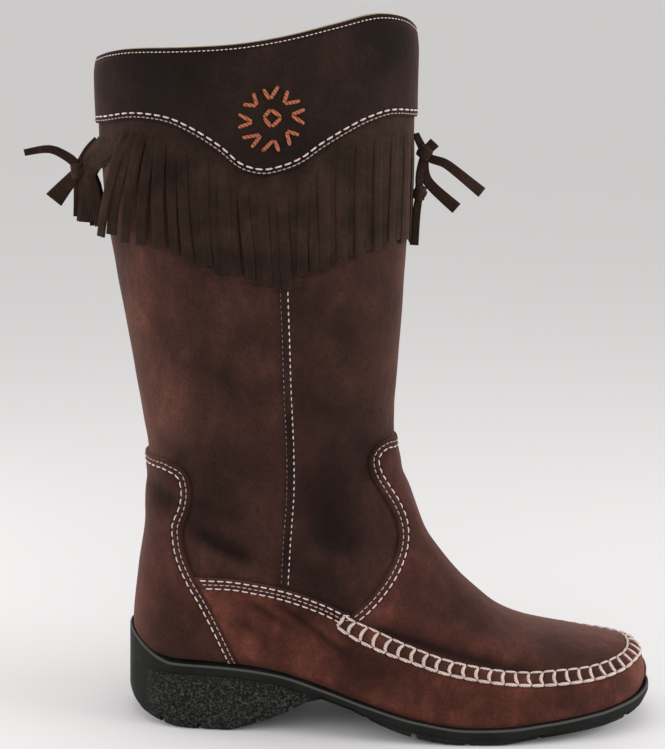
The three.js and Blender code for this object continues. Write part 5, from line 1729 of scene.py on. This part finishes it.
def tied_knot(name, node, face_x, edge_z, outward, beads, thongs):
    """Knots with their loose ends, placed by distances out from the shaft and down from the cuff's edge."""
    ribbons = [
        thong_ribbon([(face_x + outward * x, edge_z - z) for x, z in path], width, bow, lean)
        for path, width, bow, lean in thongs
    ]
    for (x, z), size, tilt in beads:
        ribbons += knot_wraps((face_x + outward * x, 0, edge_z - z), size, outward * tilt)
    centres, outs, widths = (np.array(part) for part in zip(*ribbons))
    points, faces = sweep(centres, outs, widths, THONG_THICKNESS, flat_outline)
    core_points = []
    for (x, z), size, _ in beads:
        first = len(points) + len(core_points)
        for i in range(CORE_ROWS + 1):
            for j in range(CORE_SPOKES):
                u = math.pi * i / CORE_ROWS
                v = 2 * math.pi * j / CORE_SPOKES
                lump = 0.8 + 0.06 * math.sin(3 * v + 2 * u)
                core_points.append((
                    face_x + outward * x + KNOT_RADIUS * size[0] * lump * math.sin(u) * math.cos(v),
                    KNOT_RADIUS * size[1] * lump * math.sin(u) * math.sin(v),
                    edge_z - z + KNOT_RADIUS * size[2] * lump * math.cos(u),
                ))
        for ring in range(first, first + CORE_ROWS * CORE_SPOKES, CORE_SPOKES):
            for j in range(CORE_SPOKES):
                a = ring + j
                b = ring + (j + 1) % CORE_SPOKES
                faces.append((a, b, b + CORE_SPOKES, a + CORE_SPOKES))
    knot = make_piece(name, np.concatenate([points, np.array(core_points)]), faces, fringe_suede)
    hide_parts(node)


front_x = on_net(skin, shaft_row(SIDE_COLUMNS, header_z), float(SIDE_COLUMNS))[0] + 0.3
front_edge_z = float(np.interp(front_x, cuff_edge[:, 0], cuff_edge[:, 1]))
tied_knot(
    "tied_thong_front", "knot_front", front_x, front_edge_z, 1,
    [((6.4, 17.4), (0.8, 0.9, 1.1), 0.5), ((4.6, 37.4), (0.62, 0.8, 1.15), 0.2)],
    [
        ([(1.9, ROOT), (2.8, 10.8), (6.4, 17.4)], (3.4, 4.2), 0.0, 0.0),
        ([(6.4, 17.4), (9, 14.9), (11.2, 12.6)], (5, 5.5), 0.0, -0.6),
        ([(6.4, 17.4), (9.2, 20.4), (16, 22.4), (22, 26.4), (35, 36.4)], (4.2, 5.5), -1.0, -1.5),
        ([(6.2, 18.4), (6.9, 28.4), (11.2, 34.9), (23, 44.9)], (4.6, 6), 1.0, 1.5),
        ([(5.5, 20.4), (4.2, 29.4), (4.6, 37.4)], (3.6, 3.8), 0.6, 0.0),
        ([(4.6, 37.4), (3.4, 47.4), (2.6, 63.4)], (3.8, 4.4), 0.5, 0.5),
    ],
)
tied_knot(
    "tied_thong_back", "knot_back", back_x, back_edge_z, -1,
    [((BACK_KNOT_OUT, BACK_KNOT_DOWN), (0.8, 0.9, 1.35), 0.15)],
    [
        ([(1.9, ROOT), (2.8, 9.3), (6.5, 14.1), (BACK_KNOT_OUT, BACK_KNOT_DOWN)], (3.4, 5.2), 0.0, 0.0),
        ([(11.2, 21.5), (16.5, 17), (25, 13.5), (37, 15.5)], (4.6, 3.2), -1.0, -2.0),
        ([(11.2, 24.5), (16, 30), (23, 38.5)], (6, 9.5), 0.0, -1.0),
        ([(11, 26.5), (10.6, 35.5), (10.2, 46.5)], (5, 7), 0.5, 1.0),
    ],
)
